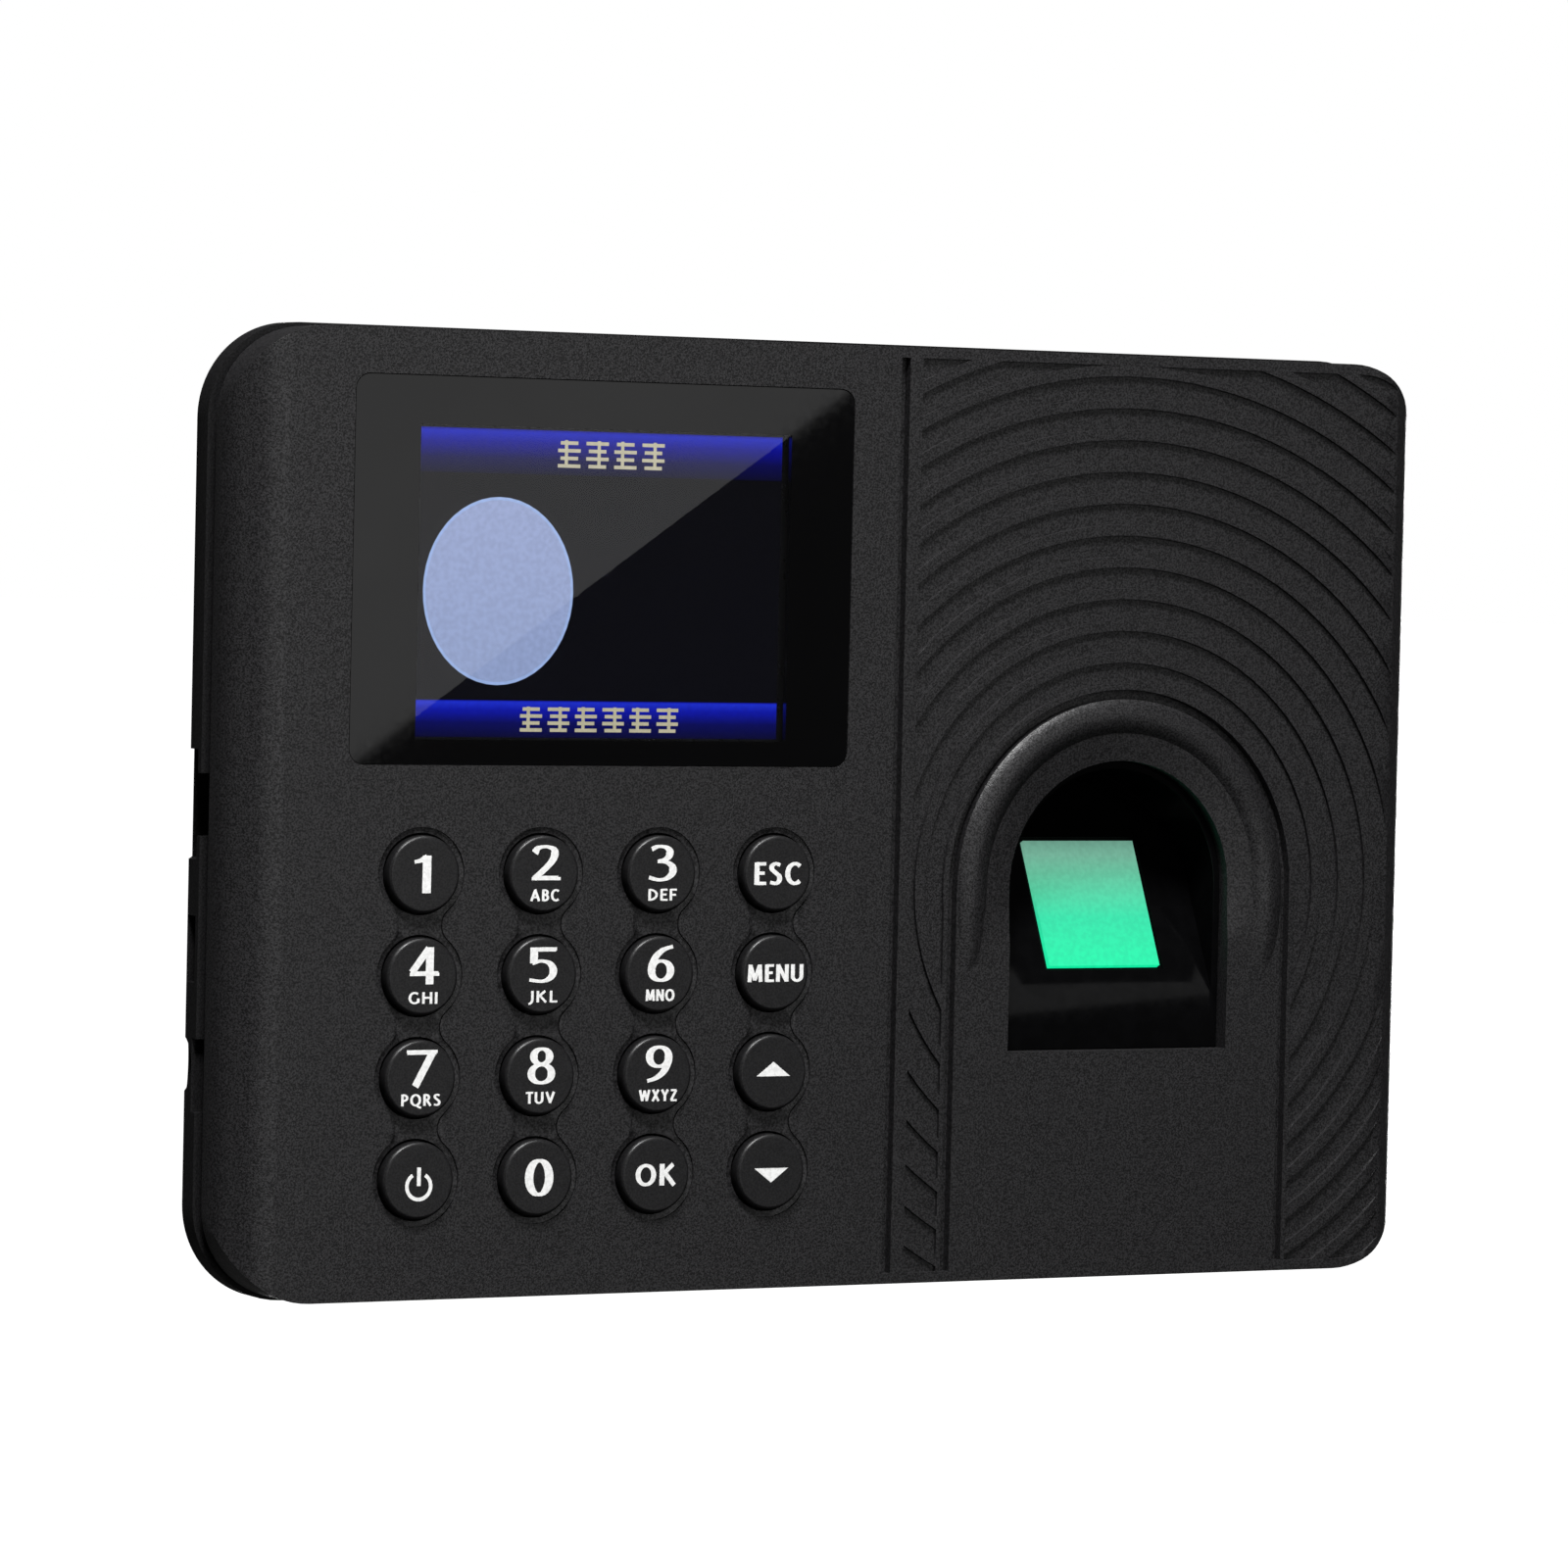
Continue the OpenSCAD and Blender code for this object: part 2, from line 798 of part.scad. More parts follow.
module rear_shell() {
    color([0.1, 0.1, 0.11])
        difference() {
            union() {
                difference() {
                    union() {
                        slab(rim_front, rim_back)
                            outline(rim_proud);
                        rear_taper(0, rim_back, shell_back);
                        slab(tongue_front, rim_front + join)
                            outline(-tongue_inset);
                    }
                    slab(tongue_front - cut_past, rim_back + rear_wall)
                        outline(-inner_inset);
                    rear_taper(rear_wall + rim_proud + join, rim_back + rear_wall, shell_back - rear_wall);
                }
                difference() {
                    recess_box(rear_wall, inner_floor);
                    recess_box(0, shell_back - rear_wall);
                }
                for (place = shell_screw_places)
                    rod(place, well_radius, boss_end + seat_gap, shell_back - rear_wall / 2);
                for (place = board_screw_places)
                    rod(place, small_boss_radius, main_back + seat_gap, shell_back - rear_wall / 2);
                lock_tunnel_walls();
            }
            recess_box(0, recess_floor);
            hook_slots();
            socket_windows();
            for (place = shell_screw_places) {
                rod(place, screw_hole + seat_gap, boss_end - cut_past, shell_back + cut_past);
                rod(place, screw_head_radius + fit_gap, well_floor, shell_back + cut_past);
            }
            for (place = board_screw_places)
                rod(place, small_screw_hole, main_back - cut_past, main_back + small_screw_bite);
            rod([speaker_x, speaker_z], speaker_hole, inner_floor - cut_past, recess_floor + cut_past);
            for (turn = [0 : speaker_hole_turn : 360 - speaker_hole_turn])
                rod(
                    [speaker_x + speaker_holes * cos(turn), speaker_z + speaker_holes * sin(turn)],
                    speaker_hole, inner_floor - cut_past, recess_floor + cut_past
                );
            lock_hole();
        }
}

// The lock screw comes up a tunnel from below and passes the lower wall of the plate's hollow
module lock_hole() {
    translate([lock_x, -lock_out, lock_seat_z - body_height / 2])
        cylinder(h = body_height / 2, r = lock_tunnel);
    translate([lock_x, -lock_out, lock_seat_z - cut_past])
        cylinder(h = rear_wall + 2 * cut_past, r = screw_hole + seat_gap);
}

module lock_tunnel_walls() {
    intersection() {
        rear_taper(0, rim_back, shell_back);
        translate([lock_x - lock_walls / 2, -lock_out - lock_walls / 2, bottom_edge])
            cube([lock_walls, lock_walls, lock_seat_z - bottom_edge]);
    }
}

module shell_screws() {
    color([0.55, 0.55, 0.57])
        screws(
            shell_screw_places, screw_radius, screw_head_radius, screw_head,
            boss_end - screw_bite + join, well_floor
        );
}

// ---------------------------------------------------------------- wall plate

module wall_plate() {
    color([0.7, 0.71, 0.72])
        difference() {
            union() {
                slab(body_depth - plate_thick, body_depth)
                    rounded(plate_width, plate_height, plate_corner);
                for (sx = [-1, 1], sz = [-1, 1])
                    hook([sx * hook_x, sz * hook_z]);
                block(
                    [lock_x, -plate_height / 2 + plate_thick / 2], [lock_width, plate_thick],
                    body_depth - lock_flange, body_depth
                );
            }
            for (sx = [-1, 1], sz = [-1, 1])
                rod(
                    [sx * plate_holes_x / 2, sz * plate_holes_z / 2], plate_hole / 2,
                    body_depth - plate_thick - cut_past, body_depth + cut_past
                );
            slab(body_depth - plate_thick - cut_past, body_depth + cut_past) {
                rounded(plate_window[0], plate_window[1], plate_window_corner);
                hook_blanks();
            }
            translate([lock_x, -lock_out, -plate_height / 2 - cut_past])
                cylinder(h = plate_thick + 2 * cut_past, r = screw_hole);
        }
}

// The holes that the bent tabs leave in the plate
module hook_blanks() {
    for (sx = [-1, 1], sz = [-1, 1])
        translate([sx * hook_x, sz * hook_z - (plate_thick + hook_blank) / 2])
            square([hook_width, hook_blank], center = true);
}

// A bent tab: a leg out of the plate and a lip that stands up behind the shell's floor
module hook(place) {
    block(place, [hook_width, plate_thick], body_depth - hook_reach, body_depth);
    block(
        [place[0], place[1] + hook_lip / 2], [hook_width, plate_thick + hook_lip],
        body_depth - hook_reach, body_depth - hook_reach + plate_thick
    );
}

module lock_screw() {
    reach = rear_wall + fit_gap + plate_thick + 2 * cut_past;
    color([0.55, 0.55, 0.57])
        translate([lock_x, -lock_out, lock_seat_z - seat_gap])
            difference() {
                union() {
                    translate([0, 0, -join])
                        cylinder(h = reach, r = screw_radius);
                    translate([0, 0, -screw_head])
                        cylinder(h = screw_head, r = screw_head_radius);
                }
                translate([-screw_head_radius * slot_share / 2, -lock_slot / 2, -screw_head - cut_past])
                    cube([screw_head_radius * slot_share, lock_slot, screw_head / 2 + cut_past]);
            }
}

// ---------------------------------------------------------------- display

module display_lens() {
    color([0.04, 0.04, 0.05])
        slab(lens_gap, pocket_depth)
            translate([lens_x, lens_z])
                rounded(lens_width, lens_height, lens_radius);
}

module lcd_panel() {
    color([0.05, 0.07, 0.3])
        block([lens_x, picture_z], [panel_width, panel_height], panel_front, panel_front + panel_thick);
}

module lcd_frame() {
    color([0.75, 0.76, 0.78])
        difference() {
            block([lens_x, picture_z], [frame_width, frame_height], panel_front, frame_back);
            block(
                [lens_x, picture_z], [panel_width + 2 * seat_gap, panel_height + 2 * seat_gap],
                panel_front - cut_past, panel_front + panel_thick + seat_gap
            );
        }
}

module lcd_retainer() {
    reach = frame_width + 2 * retainer_reach + 2 * small_boss_radius;
    color([0.66, 0.67, 0.69])
        difference() {
            slab(frame_back + seat_gap, frame_back + seat_gap + retainer_thick)
                translate([lens_x, picture_z])
                    rounded(reach, retainer_height, retainer_corner);
            for (place = retainer_places)
                rod(
                    place, small_screw_radius + seat_gap,
                    frame_back - cut_past, frame_back + small_screw_bite
                );
        }
}

module retainer_screws() {
    color([0.6, 0.6, 0.62])
        screws(
            retainer_places, small_screw_radius, small_head_radius, small_head,
            face_wall + 2 * join, frame_back + 2 * seat_gap + retainer_thick
        );
}

// A flat ribbon that runs back from what stands in front to a connector on the main board
module ribbon(z, width, front) {
    block([lens_x, z], [width, ribbon_thick], front, main_board_depth - connector_height - seat_gap);
}

module display_ribbon() {
    color([0.75, 0.5, 0.15])
        ribbon(display_ribbon_z, display_ribbon_width, frame_back + seat_gap);
}

// ---------------------------------------------------------------- keypad

module key(row, column) {
    color([0.11, 0.11, 0.12])
        translate([key_x(column), -body_depth, key_z(row)])
            rotate([-90, 0, 0])
                rotate_extrude()
                    key_section();
}

// Half section of a key: a rounded cap, a flange behind the face and a stem
module key_section() {
    translate([0, -key_proud])
        square([key_radius - key_edge, key_edge]);
    translate([0, -key_proud + key_edge])
        square([key_radius, flange_front + key_proud - key_edge + join]);
    intersection() {
        translate([key_radius - key_edge, -key_proud + key_edge])
            circle(r = key_edge, $fn = edge_arc);
        translate([0, -key_proud])
            square([key_radius, key_edge]);
    }
    translate([0, flange_front])
        square([key_radius + key_flange, flange_thick]);
    square([stem_radius, stem_end]);
}

module keypad_mat() {
    color([0.3, 0.31, 0.33])
        difference() {
            union() {
                block(
                    [lens_x, key_field_z], [key_field_width, key_field_height],
                    mat_front, mat_front + mat_thick
                );
                for (row = [0 : key_rows - 1], column = [0 : key_columns - 1])
                    rod([key_x(column), key_z(row)], dome_radius, dome_front, mat_front + join);
            }
            for (place = keypad_screw_places)
                rod(
                    place, small_boss_radius + fit_gap,
                    mat_front - cut_past, mat_front + mat_thick + cut_past
                );
        }
}

module keypad_board() {
    color([0.05, 0.3, 0.12])
        difference() {
            block(
                [lens_x, key_field_z], [key_field_width, key_field_height],
                key_board_depth + seat_gap, key_board_depth + seat_gap + board_thick
            );
            for (place = keypad_screw_places)
                rod(
                    place, small_screw_radius + seat_gap,
                    key_board_depth - cut_past, key_board_depth + small_screw_bite
                );
        }
}

module keypad_screws() {
    color([0.6, 0.6, 0.62])
        screws(
            keypad_screw_places, small_screw_radius, small_head_radius, small_head,
            face_wall + 2 * join, key_board_depth + 2 * seat_gap + board_thick
        );
}

module keypad_ribbon() {
    color([0.75, 0.5, 0.15])
        ribbon(key_ribbon_z, key_ribbon_width, key_board_depth + 2 * seat_gap + board_thick);
}

// ---------------------------------------------------------------- sensor

module sensor_housing() {
    color([0.03, 0.03, 0.035])
        difference() {
            union() {
                slab(sensor_front, sensor_board_depth)
                    at_recess()
                        arch(sensor_radius, sensor_sill);
                slab(sensor_flange_front, sensor_flange_front + sensor_flange_thick)
                    at_recess()
                        arch(sensor_radius + sensor_flange, sensor_sill + sensor_flange);
                for (place = sensor_screw_places)
                    rod(
                        place, small_boss_radius + 1,
                        sensor_flange_front + sensor_flange_thick + seat_gap,
                        sensor_flange_front + 2 * sensor_flange_thick + seat_gap
                    );
                block(
                    [recess_x, window_z], [2 * (recess_radius + sensor_ear), 2 * small_boss_radius + 2],
                    sensor_flange_front + sensor_flange_thick + seat_gap,
                    sensor_flange_front + 2 * sensor_flange_thick + seat_gap
                );
            }
            for (place = sensor_screw_places)
                rod(place, small_screw_radius + seat_gap, 0, sensor_board_depth);
            scoop();
            at_window()
                translate([
                    -window_width / 2 - seat_gap, -window_length / 2 - seat_gap, -prism_step - cut_past
                ])
                    cube([
                        window_width + 2 * seat_gap, window_length + 2 * seat_gap,
                        prism_step + 2 * cut_past
                    ]);
            at_window()
                translate([-window_width / 2 - window_rim, -window_length / 2 - window_rim, -window_set])
                    cube([
                        window_width + 2 * window_rim, window_length + 2 * window_rim,
                        window_set + cut_past
                    ]);
            at_window()
                translate([-cavity_width / 2, -cavity_length / 2, -prism_step - body_depth])
                    cube([cavity_width, cavity_length, body_depth]);
        }
}

// The hollow that guides the finger on to the window, with the window's plane as its floor
module scoop() {
    intersection() {
        slab(-cut_past, scoop_depth)
            at_recess()
                arch(sensor_radius - scoop_wall, body_height);
        at_window()
            translate([-body_width / 2, -body_height / 2, 0])
                cube([body_width, body_height, body_depth]);
    }
}

// The glass block under the finger, held by a flange behind the housing's wall
module sensor_prism() {
    color([0.35, 0.85, 0.65])
        at_window() {
            translate([-window_width / 2, -window_length / 2, -prism_step - seat_gap])
                cube([window_width, window_length, prism_step + 2 * seat_gap]);
            translate([-window_width / 2 - prism_flange, -window_length / 2, -window_thick])
                cube([
                    window_width + 2 * prism_flange, window_length,
                    window_thick - prism_step - seat_gap
                ]);
        }
}

module sensor_board() {
    color([0.05, 0.3, 0.12])
        slab(sensor_board_depth + seat_gap, sensor_board_depth + seat_gap + board_thick)
            at_recess()
                arch(sensor_radius - join, sensor_sill - join);
}

module sensor_leds() {
    color([0.2, 0.9, 0.4])
        for (side = [-1, 1])
            rod(
                [recess_x + side * led_spread, window_z - led_drop], led_radius,
                sensor_board_depth - led_length, sensor_board_depth
            );
}

module sensor_camera() {
    place = [recess_x, window_z - camera_drop];
    color([0.2, 0.2, 0.22]) {
        block(place, [camera_size, camera_size], sensor_board_depth - camera_base, sensor_board_depth);
        rod(
            place, camera_lens_radius,
            sensor_board_depth - camera_length, sensor_board_depth - camera_base + join
        );
    }
}

module sensor_screws() {
    color([0.6, 0.6, 0.62])
        screws(
            sensor_screw_places, small_screw_radius, small_head_radius, small_head,
            face_wall + 2 * join, sensor_flange_front + 2 * sensor_flange_thick + 2 * seat_gap
        );
}

// A flat cable from the back of the sensor's board to the main board
module sensor_cable() {
    board_back = sensor_board_depth + 2 * seat_gap + board_thick;
    start = main_x + main_board_width / 2 - cable_overlap;
    color([0.75, 0.75, 0.76])
        block(
            [(start + recess_x) / 2, cable_z], [recess_x - start, cable_width],
            board_back, board_back + cable_thick
        );
}

// ---------------------------------------------------------------- main board

module main_board() {
    color([0.05, 0.3, 0.12])
        difference() {
            block([main_x, 0], [main_board_width, main_board_height], main_board_depth, main_back);
            for (place = board_screw_places)
                rod(
                    place, small_screw_radius + seat_gap,
                    main_board_depth - cut_past, main_back + cut_past
                );
        }
}

module chip(place, size, height) {
    block(place, size, main_board_depth - seat_gap / 2 - height, main_board_depth - seat_gap / 2);
}

module processor() {
    color([0.08, 0.08, 0.09])
        chip(processor_place, processor_size, processor_height);
}

module memory_chips() {
    color([0.08, 0.08, 0.09])
        for (i = [0 : 1])
            chip([memory_place[0], memory_place[1] + i * memory_step], memory_size, memory_height);
}

module capacitors() {
    color([0.25, 0.26, 0.3])
        for (i = [0 : 2])
            rod(
                [capacitor_place[0] + i * capacitor_step, capacitor_place[1]], capacitor_radius,
                main_board_depth - seat_gap / 2 - capacitor_height, main_board_depth - seat_gap / 2
            );
}

module connectors() {
    color([0.85, 0.84, 0.78]) {
        chip(
            [lens_x, display_ribbon_z], [display_ribbon_width + 2 * connector_border, connector_depth],
            connector_height
        );
        chip(
            [lens_x, key_ribbon_z], [key_ribbon_width + 2 * connector_border, connector_depth],
            connector_height
        );
        chip(wire_connector_place, wire_connector, connector_height);
    }
}

module coin_cell_holder() {
    color([0.12, 0.12, 0.13])
        difference() {
            chip(
                coin_place, [2 * (coin_radius + coin_border), 2 * (coin_radius + coin_border)],
                coin_holder_height
            );
            rod(
                coin_place, coin_radius + seat_gap,
                main_board_depth - coin_holder_height - cut_past, main_board_depth - coin_floor + seat_gap
            );
        }
}

module coin_cell() {
    color([0.78, 0.79, 0.8])
        rod(
            coin_place, coin_radius,
            main_board_depth - coin_floor - coin_thick, main_board_depth - coin_floor
        );
}

// A moulded jack with a wide mouth, a notch for the plug's latch and eight contacts
module network_socket() {
    mouth_back = main_board_depth - network_floor;
    outer_length = network_length + 2 * network_wall;
    color([0.1, 0.1, 0.11])
        difference() {
            translate([
                socket_face, main_board_depth - seat_gap / 2 - network_height - body_depth,
                network_z - outer_length / 2
            ])
                cube([network_depth, network_height, outer_length]);
            translate([socket_face - cut_past, mouth_back - network_mouth - body_depth,
                network_z - network_length / 2])
                cube([network_depth - socket_back + cut_past, network_mouth, network_length]);
            translate([socket_face - cut_past, mouth_back - network_mouth - latch_height - body_depth,
                network_z - latch_width / 2])
                cube([network_depth - 2 * socket_back + cut_past, network_mouth, latch_width]);
        }
    color([0.85, 0.7, 0.35])
        for (i = [0 : contact_count - 1])
            translate([
                socket_face + contact_set, mouth_back - contact_height - body_depth,
                network_z + (i - (contact_count - 1) / 2) * contact_pitch - network_contact / 2
            ])
                cube([
                    network_depth - contact_set - socket_back / 2, contact_height + network_floor / 2,
                    network_contact
                ]);
}

module usb_board() {
    color([0.05, 0.3, 0.12])
        translate([
            socket_face + usb_board_set, usb_board_depth - body_depth, usb_z - usb_board_size[1] / 2
        ])
            cube([usb_board_size[0], usb_board_thick, usb_board_size[1]]);
}

module usb_header() {
    front = usb_board_depth + usb_board_thick;
    color([0.08, 0.08, 0.09])
        translate([
            socket_face + usb_board_size[0] - usb_header_width - usb_header_inset, front - body_depth,
            usb_z - usb_board_size[1] / 2 + usb_header_inset
        ])
            cube([usb_header_width, main_board_depth - front, usb_board_size[1] - 2 * usb_header_inset]);
}

// A thin metal shell round a tongue, open to the left
module usb_socket() {
    inside = usb_height - 2 * usb_shell;
    translate([socket_face, usb_board_depth - usb_height - body_depth, usb_z - usb_length / 2]) {
        color([0.75, 0.75, 0.77])
            difference() {
                cube([usb_depth, usb_height, usb_length]);
                translate([-cut_past, usb_shell, usb_shell])
                    cube([usb_depth - usb_shell + cut_past, inside, usb_length - 2 * usb_shell]);
            }
        color([0.1, 0.1, 0.1])
            translate([usb_tongue_margin / 2, usb_shell + inside / 3, usb_tongue_margin])
                cube([
                    usb_depth - usb_tongue_margin / 2 - usb_shell / 2, inside / 3,
                    usb_length - 2 * usb_tongue_margin
                ]);
    }
}

module power_inlet() {
    middle = main_board_depth - inlet_height / 2 - body_depth;
    color([0.07, 0.07, 0.08])
        difference() {
            translate([socket_face, middle - inlet_height / 2, inlet_z - inlet_width / 2])
                cube([inlet_depth, inlet_height - seat_gap / 2, inlet_width]);
            translate([socket_face - cut_past, middle, inlet_z])
                rotate([0, 90, 0])
                    cylinder(h = inlet_depth - socket_back + cut_past, r = inlet_radius);
        }
    color([0.8, 0.8, 0.8])
        translate([socket_face + socket_back / 2, middle, inlet_z])
            rotate([0, 90, 0])
                cylinder(h = inlet_depth - socket_back, r = inlet_pin);
}

module board_screws() {
    color([0.6, 0.6, 0.62])
        for (place = board_screw_places) {
            rod(
                place, small_screw_radius,
                main_board_depth - join, main_back + small_screw_bite - 3 * join
            );
            rod(
                place, small_head_radius,
                main_board_depth - seat_gap - small_head, main_board_depth - seat_gap
            );
        }
}

module speaker() {
    color([0.2, 0.2, 0.22])
        difference() {
            union() {
                rod([speaker_x, speaker_z], speaker_radius, speaker_rim_front, inner_floor - seat_gap);
                rod(
                    [speaker_x, speaker_z], speaker_radius / 2,
                    inner_floor - speaker_depth, speaker_rim_front + join
                );
            }
            rod(
                [speaker_x, speaker_z], speaker_radius - speaker_rim,
                inner_floor - speaker_rim / 2, inner_floor + cut_past
            );
        }
}

// Two wires that run across and then back to the speaker's rim
module speaker_cable() {
    start = wire_connector_place[0] + wire_connector[0] / 2 + seat_gap;
    end = speaker_x - speaker_radius + speaker_rim;
    front = main_board_depth - wire_height;
    color([0.6, 0.1, 0.1])
        for (side = [-1, 1])
            translate([0, front - body_depth, wire_connector_place[1] + side]) {
                translate([start, 0, 0])
                    rotate([0, 90, 0])
                        cylinder(h = end - start, r = wire_radius);
                translate([end, 0, 0])
                    sphere(r = wire_radius);
                translate([end, 0, 0])
                    rotate([-90, 0, 0])
                        cylinder(h = speaker_rim_front - front, r = wire_radius);
            }
}

// ---------------------------------------------------------------- nodes

front_shell();
rear_shell();
shell_screws();
wall_plate();
lock_screw();
display_lens();
lcd_panel();
lcd_frame();
lcd_retainer();
retainer_screws();
display_ribbon();
for (row = [0 : key_rows - 1], column = [0 : key_columns - 1])
    key(row, column);
keypad_mat();
keypad_board();
keypad_screws();
keypad_ribbon();
sensor_housing();
sensor_prism();
sensor_board();
sensor_leds();
sensor_camera();
sensor_screws();
sensor_cable();
main_board();
processor();
memory_chips();
capacitors();
connectors();
coin_cell_holder();
coin_cell();
network_socket();
usb_board();
usb_header();
usb_socket();
power_inlet();
board_screws();
speaker();
speaker_cable();
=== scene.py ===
"""The looks of the fingerprint scanner terminal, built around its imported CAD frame."""

import json
import math

import bmesh
import bpy
from mathutils import Matrix, Vector

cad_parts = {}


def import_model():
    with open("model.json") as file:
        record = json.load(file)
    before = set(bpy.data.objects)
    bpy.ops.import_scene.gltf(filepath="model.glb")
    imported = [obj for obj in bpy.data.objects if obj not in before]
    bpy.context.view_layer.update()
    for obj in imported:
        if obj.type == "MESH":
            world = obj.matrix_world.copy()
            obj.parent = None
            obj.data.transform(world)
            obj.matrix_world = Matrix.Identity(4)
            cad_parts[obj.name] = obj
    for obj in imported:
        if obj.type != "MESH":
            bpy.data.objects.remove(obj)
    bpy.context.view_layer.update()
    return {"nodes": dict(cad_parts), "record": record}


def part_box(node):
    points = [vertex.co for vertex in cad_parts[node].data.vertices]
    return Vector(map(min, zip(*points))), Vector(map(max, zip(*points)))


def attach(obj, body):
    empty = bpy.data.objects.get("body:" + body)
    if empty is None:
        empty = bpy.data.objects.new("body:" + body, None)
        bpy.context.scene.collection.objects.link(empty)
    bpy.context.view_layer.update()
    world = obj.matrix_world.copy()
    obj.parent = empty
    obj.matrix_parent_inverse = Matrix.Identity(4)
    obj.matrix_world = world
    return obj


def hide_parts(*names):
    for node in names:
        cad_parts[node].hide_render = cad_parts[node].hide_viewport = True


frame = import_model()
nodes = frame["nodes"]
MM = 0.001

KEY_LETTERS = {
    "2": "ABC", "3": "DEF", "4": "GHI", "5": "JKL", "6": "MNO", "7": "PQRS", "8": "TUV", "9": "WXYZ",
}
# the printed words with their height and width in mm
KEY_WORDS = {"key_esc": ("ESC", 2.7, 6.5), "key_menu": ("MENU", 2.1, 7.7), "key_ok": ("OK", 2.6, 5.6)}
KEYS = [f"key_{n}" for n in [*"0123456789", "esc", "menu", "ok", "up", "down", "power"]]

# ---------------------------------------------------------------- places, all from the frame

lens_low, lens_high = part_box("display_lens")
panel_low, panel_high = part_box("lcd_panel")
prism_low, prism_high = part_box("sensor_prism")


# ---------------------------------------------------------------- camera

CAMERA_PLACE = Vector((-395.7, -760.4, 32.8)) * MM
CAMERA_AZIMUTH = math.radians(-27.87)
CAMERA_ELEVATION = math.radians(2.0)
CAMERA_ROLL = math.radians(1.29)
CAMERA_LENS = 156.2
CAMERA_FILM = 36


def make_camera():
    """The main view: a long lens from the left and slightly above, a little rolled."""
    back = Vector((
        math.sin(CAMERA_AZIMUTH) * math.cos(CAMERA_ELEVATION),
        -math.cos(CAMERA_AZIMUTH) * math.cos(CAMERA_ELEVATION),
        math.sin(CAMERA_ELEVATION),
    ))
    right = Vector((math.cos(CAMERA_AZIMUTH), math.sin(CAMERA_AZIMUTH), 0))
    up = back.cross(right)
    across = right * math.cos(CAMERA_ROLL) + up * math.sin(CAMERA_ROLL)
    upward = up * math.cos(CAMERA_ROLL) - right * math.sin(CAMERA_ROLL)
    camera = bpy.data.objects.new("camera", bpy.data.cameras.new("camera"))
    camera.data.sensor_width = CAMERA_FILM
    camera.data.lens = CAMERA_LENS
    camera.data.clip_start = 0.01
    camera.data.clip_end = 100
    bpy.context.scene.collection.objects.link(camera)
    turn = Matrix((across, upward, back)).transposed().to_4x4()
    camera.matrix_world = Matrix.Translation(CAMERA_PLACE) @ turn
    bpy.context.scene.camera = camera


# ---------------------------------------------------------------- materials


class Nodes:
    """A material's node tree with short ways to add and join nodes."""

    def __init__(self, name):
        self.material = bpy.data.materials.new(name)
        self.material.use_nodes = True
        self.tree = self.material.node_tree
        self.shader = self.tree.nodes["Principled BSDF"]
        self.place = self.add("ShaderNodeTexCoord").outputs["Object"]

    def add(self, kind, **values):
        node = self.tree.nodes.new(kind)
        for key, value in values.items():
            setattr(node, key, value)
        return node

    def join(self, out, into):
        self.tree.links.new(out, into)

    def set(self, **values):
        for key, value in values.items():
            self.shader.inputs[key.replace("_", " ")].default_value = value

    def noise(self, scale, detail=2, rough=0.5):
        node = self.add("ShaderNodeTexNoise")
        node.inputs["Scale"].default_value = scale
        node.inputs["Detail"].default_value = detail
        node.inputs["Roughness"].default_value = rough
        self.join(self.place, node.inputs["Vector"])
        return node.outputs["Fac"]

    def ramp(self, fac, stops):
        node = self.add("ShaderNodeValToRGB")
        while len(node.color_ramp.elements) < len(stops):
            node.color_ramp.elements.new(0.5)
        for element, (at, color) in zip(node.color_ramp.elements, stops):
            element.position = at
            element.color = (*color, 1)
        self.join(fac, node.inputs["Fac"])
        return node.outputs["Color"]

    def spread(self, fac, low, high, start=0.3, end=0.7):
        node = self.add("ShaderNodeMapRange")
        node.inputs["From Min"].default_value = start
        node.inputs["From Max"].default_value = end
        node.inputs["To Min"].default_value = low
        node.inputs["To Max"].default_value = high
        self.join(fac, node.inputs["Value"])
        return node.outputs["Result"]

    def bump(self, heights):
        """heights are (height output, distance in metres) pairs, laid on one another."""
        normal = None
        for height, distance in heights:
            node = self.add("ShaderNodeBump")
            node.inputs["Strength"].default_value = 1
            node.inputs["Distance"].default_value = distance
            self.join(height, node.inputs["Height"])
            if normal is not None:
                self.join(normal, node.inputs["Normal"])
            normal = node.outputs["Normal"]
        self.join(normal, self.shader.inputs["Normal"])


def shade(color, factor):
    """A colour made lighter or darker."""
    return tuple(min(1, c * factor) for c in color)


def plastic(name, color, rough, grain=5200, depth=0.004 * MM, vary=0.12, swing=0.05, gloss=0.5):
    """Moulded plastic: fine spark texture, slight mottling of colour and gloss."""
    m = Nodes(name)
    cloud = m.noise(grain * 0.8, 2, 0.6)
    m.join(m.ramp(cloud, [(0.4, shade(color, 1 - vary)), (0.6, shade(color, 1 + vary))]),
           m.shader.inputs["Base Color"])
    m.join(m.spread(cloud, gloss * (1 - vary / 2), gloss * (1 + vary / 2), 0.4, 0.6),
           m.shader.inputs["Specular IOR Level"])
    m.join(m.spread(m.noise(900, 3), rough - swing, rough + swing), m.shader.inputs["Roughness"])
    m.bump([(m.noise(grain, 2, 0.6), depth), (m.noise(grain / 9, 2), depth * 0.8)])
    return m


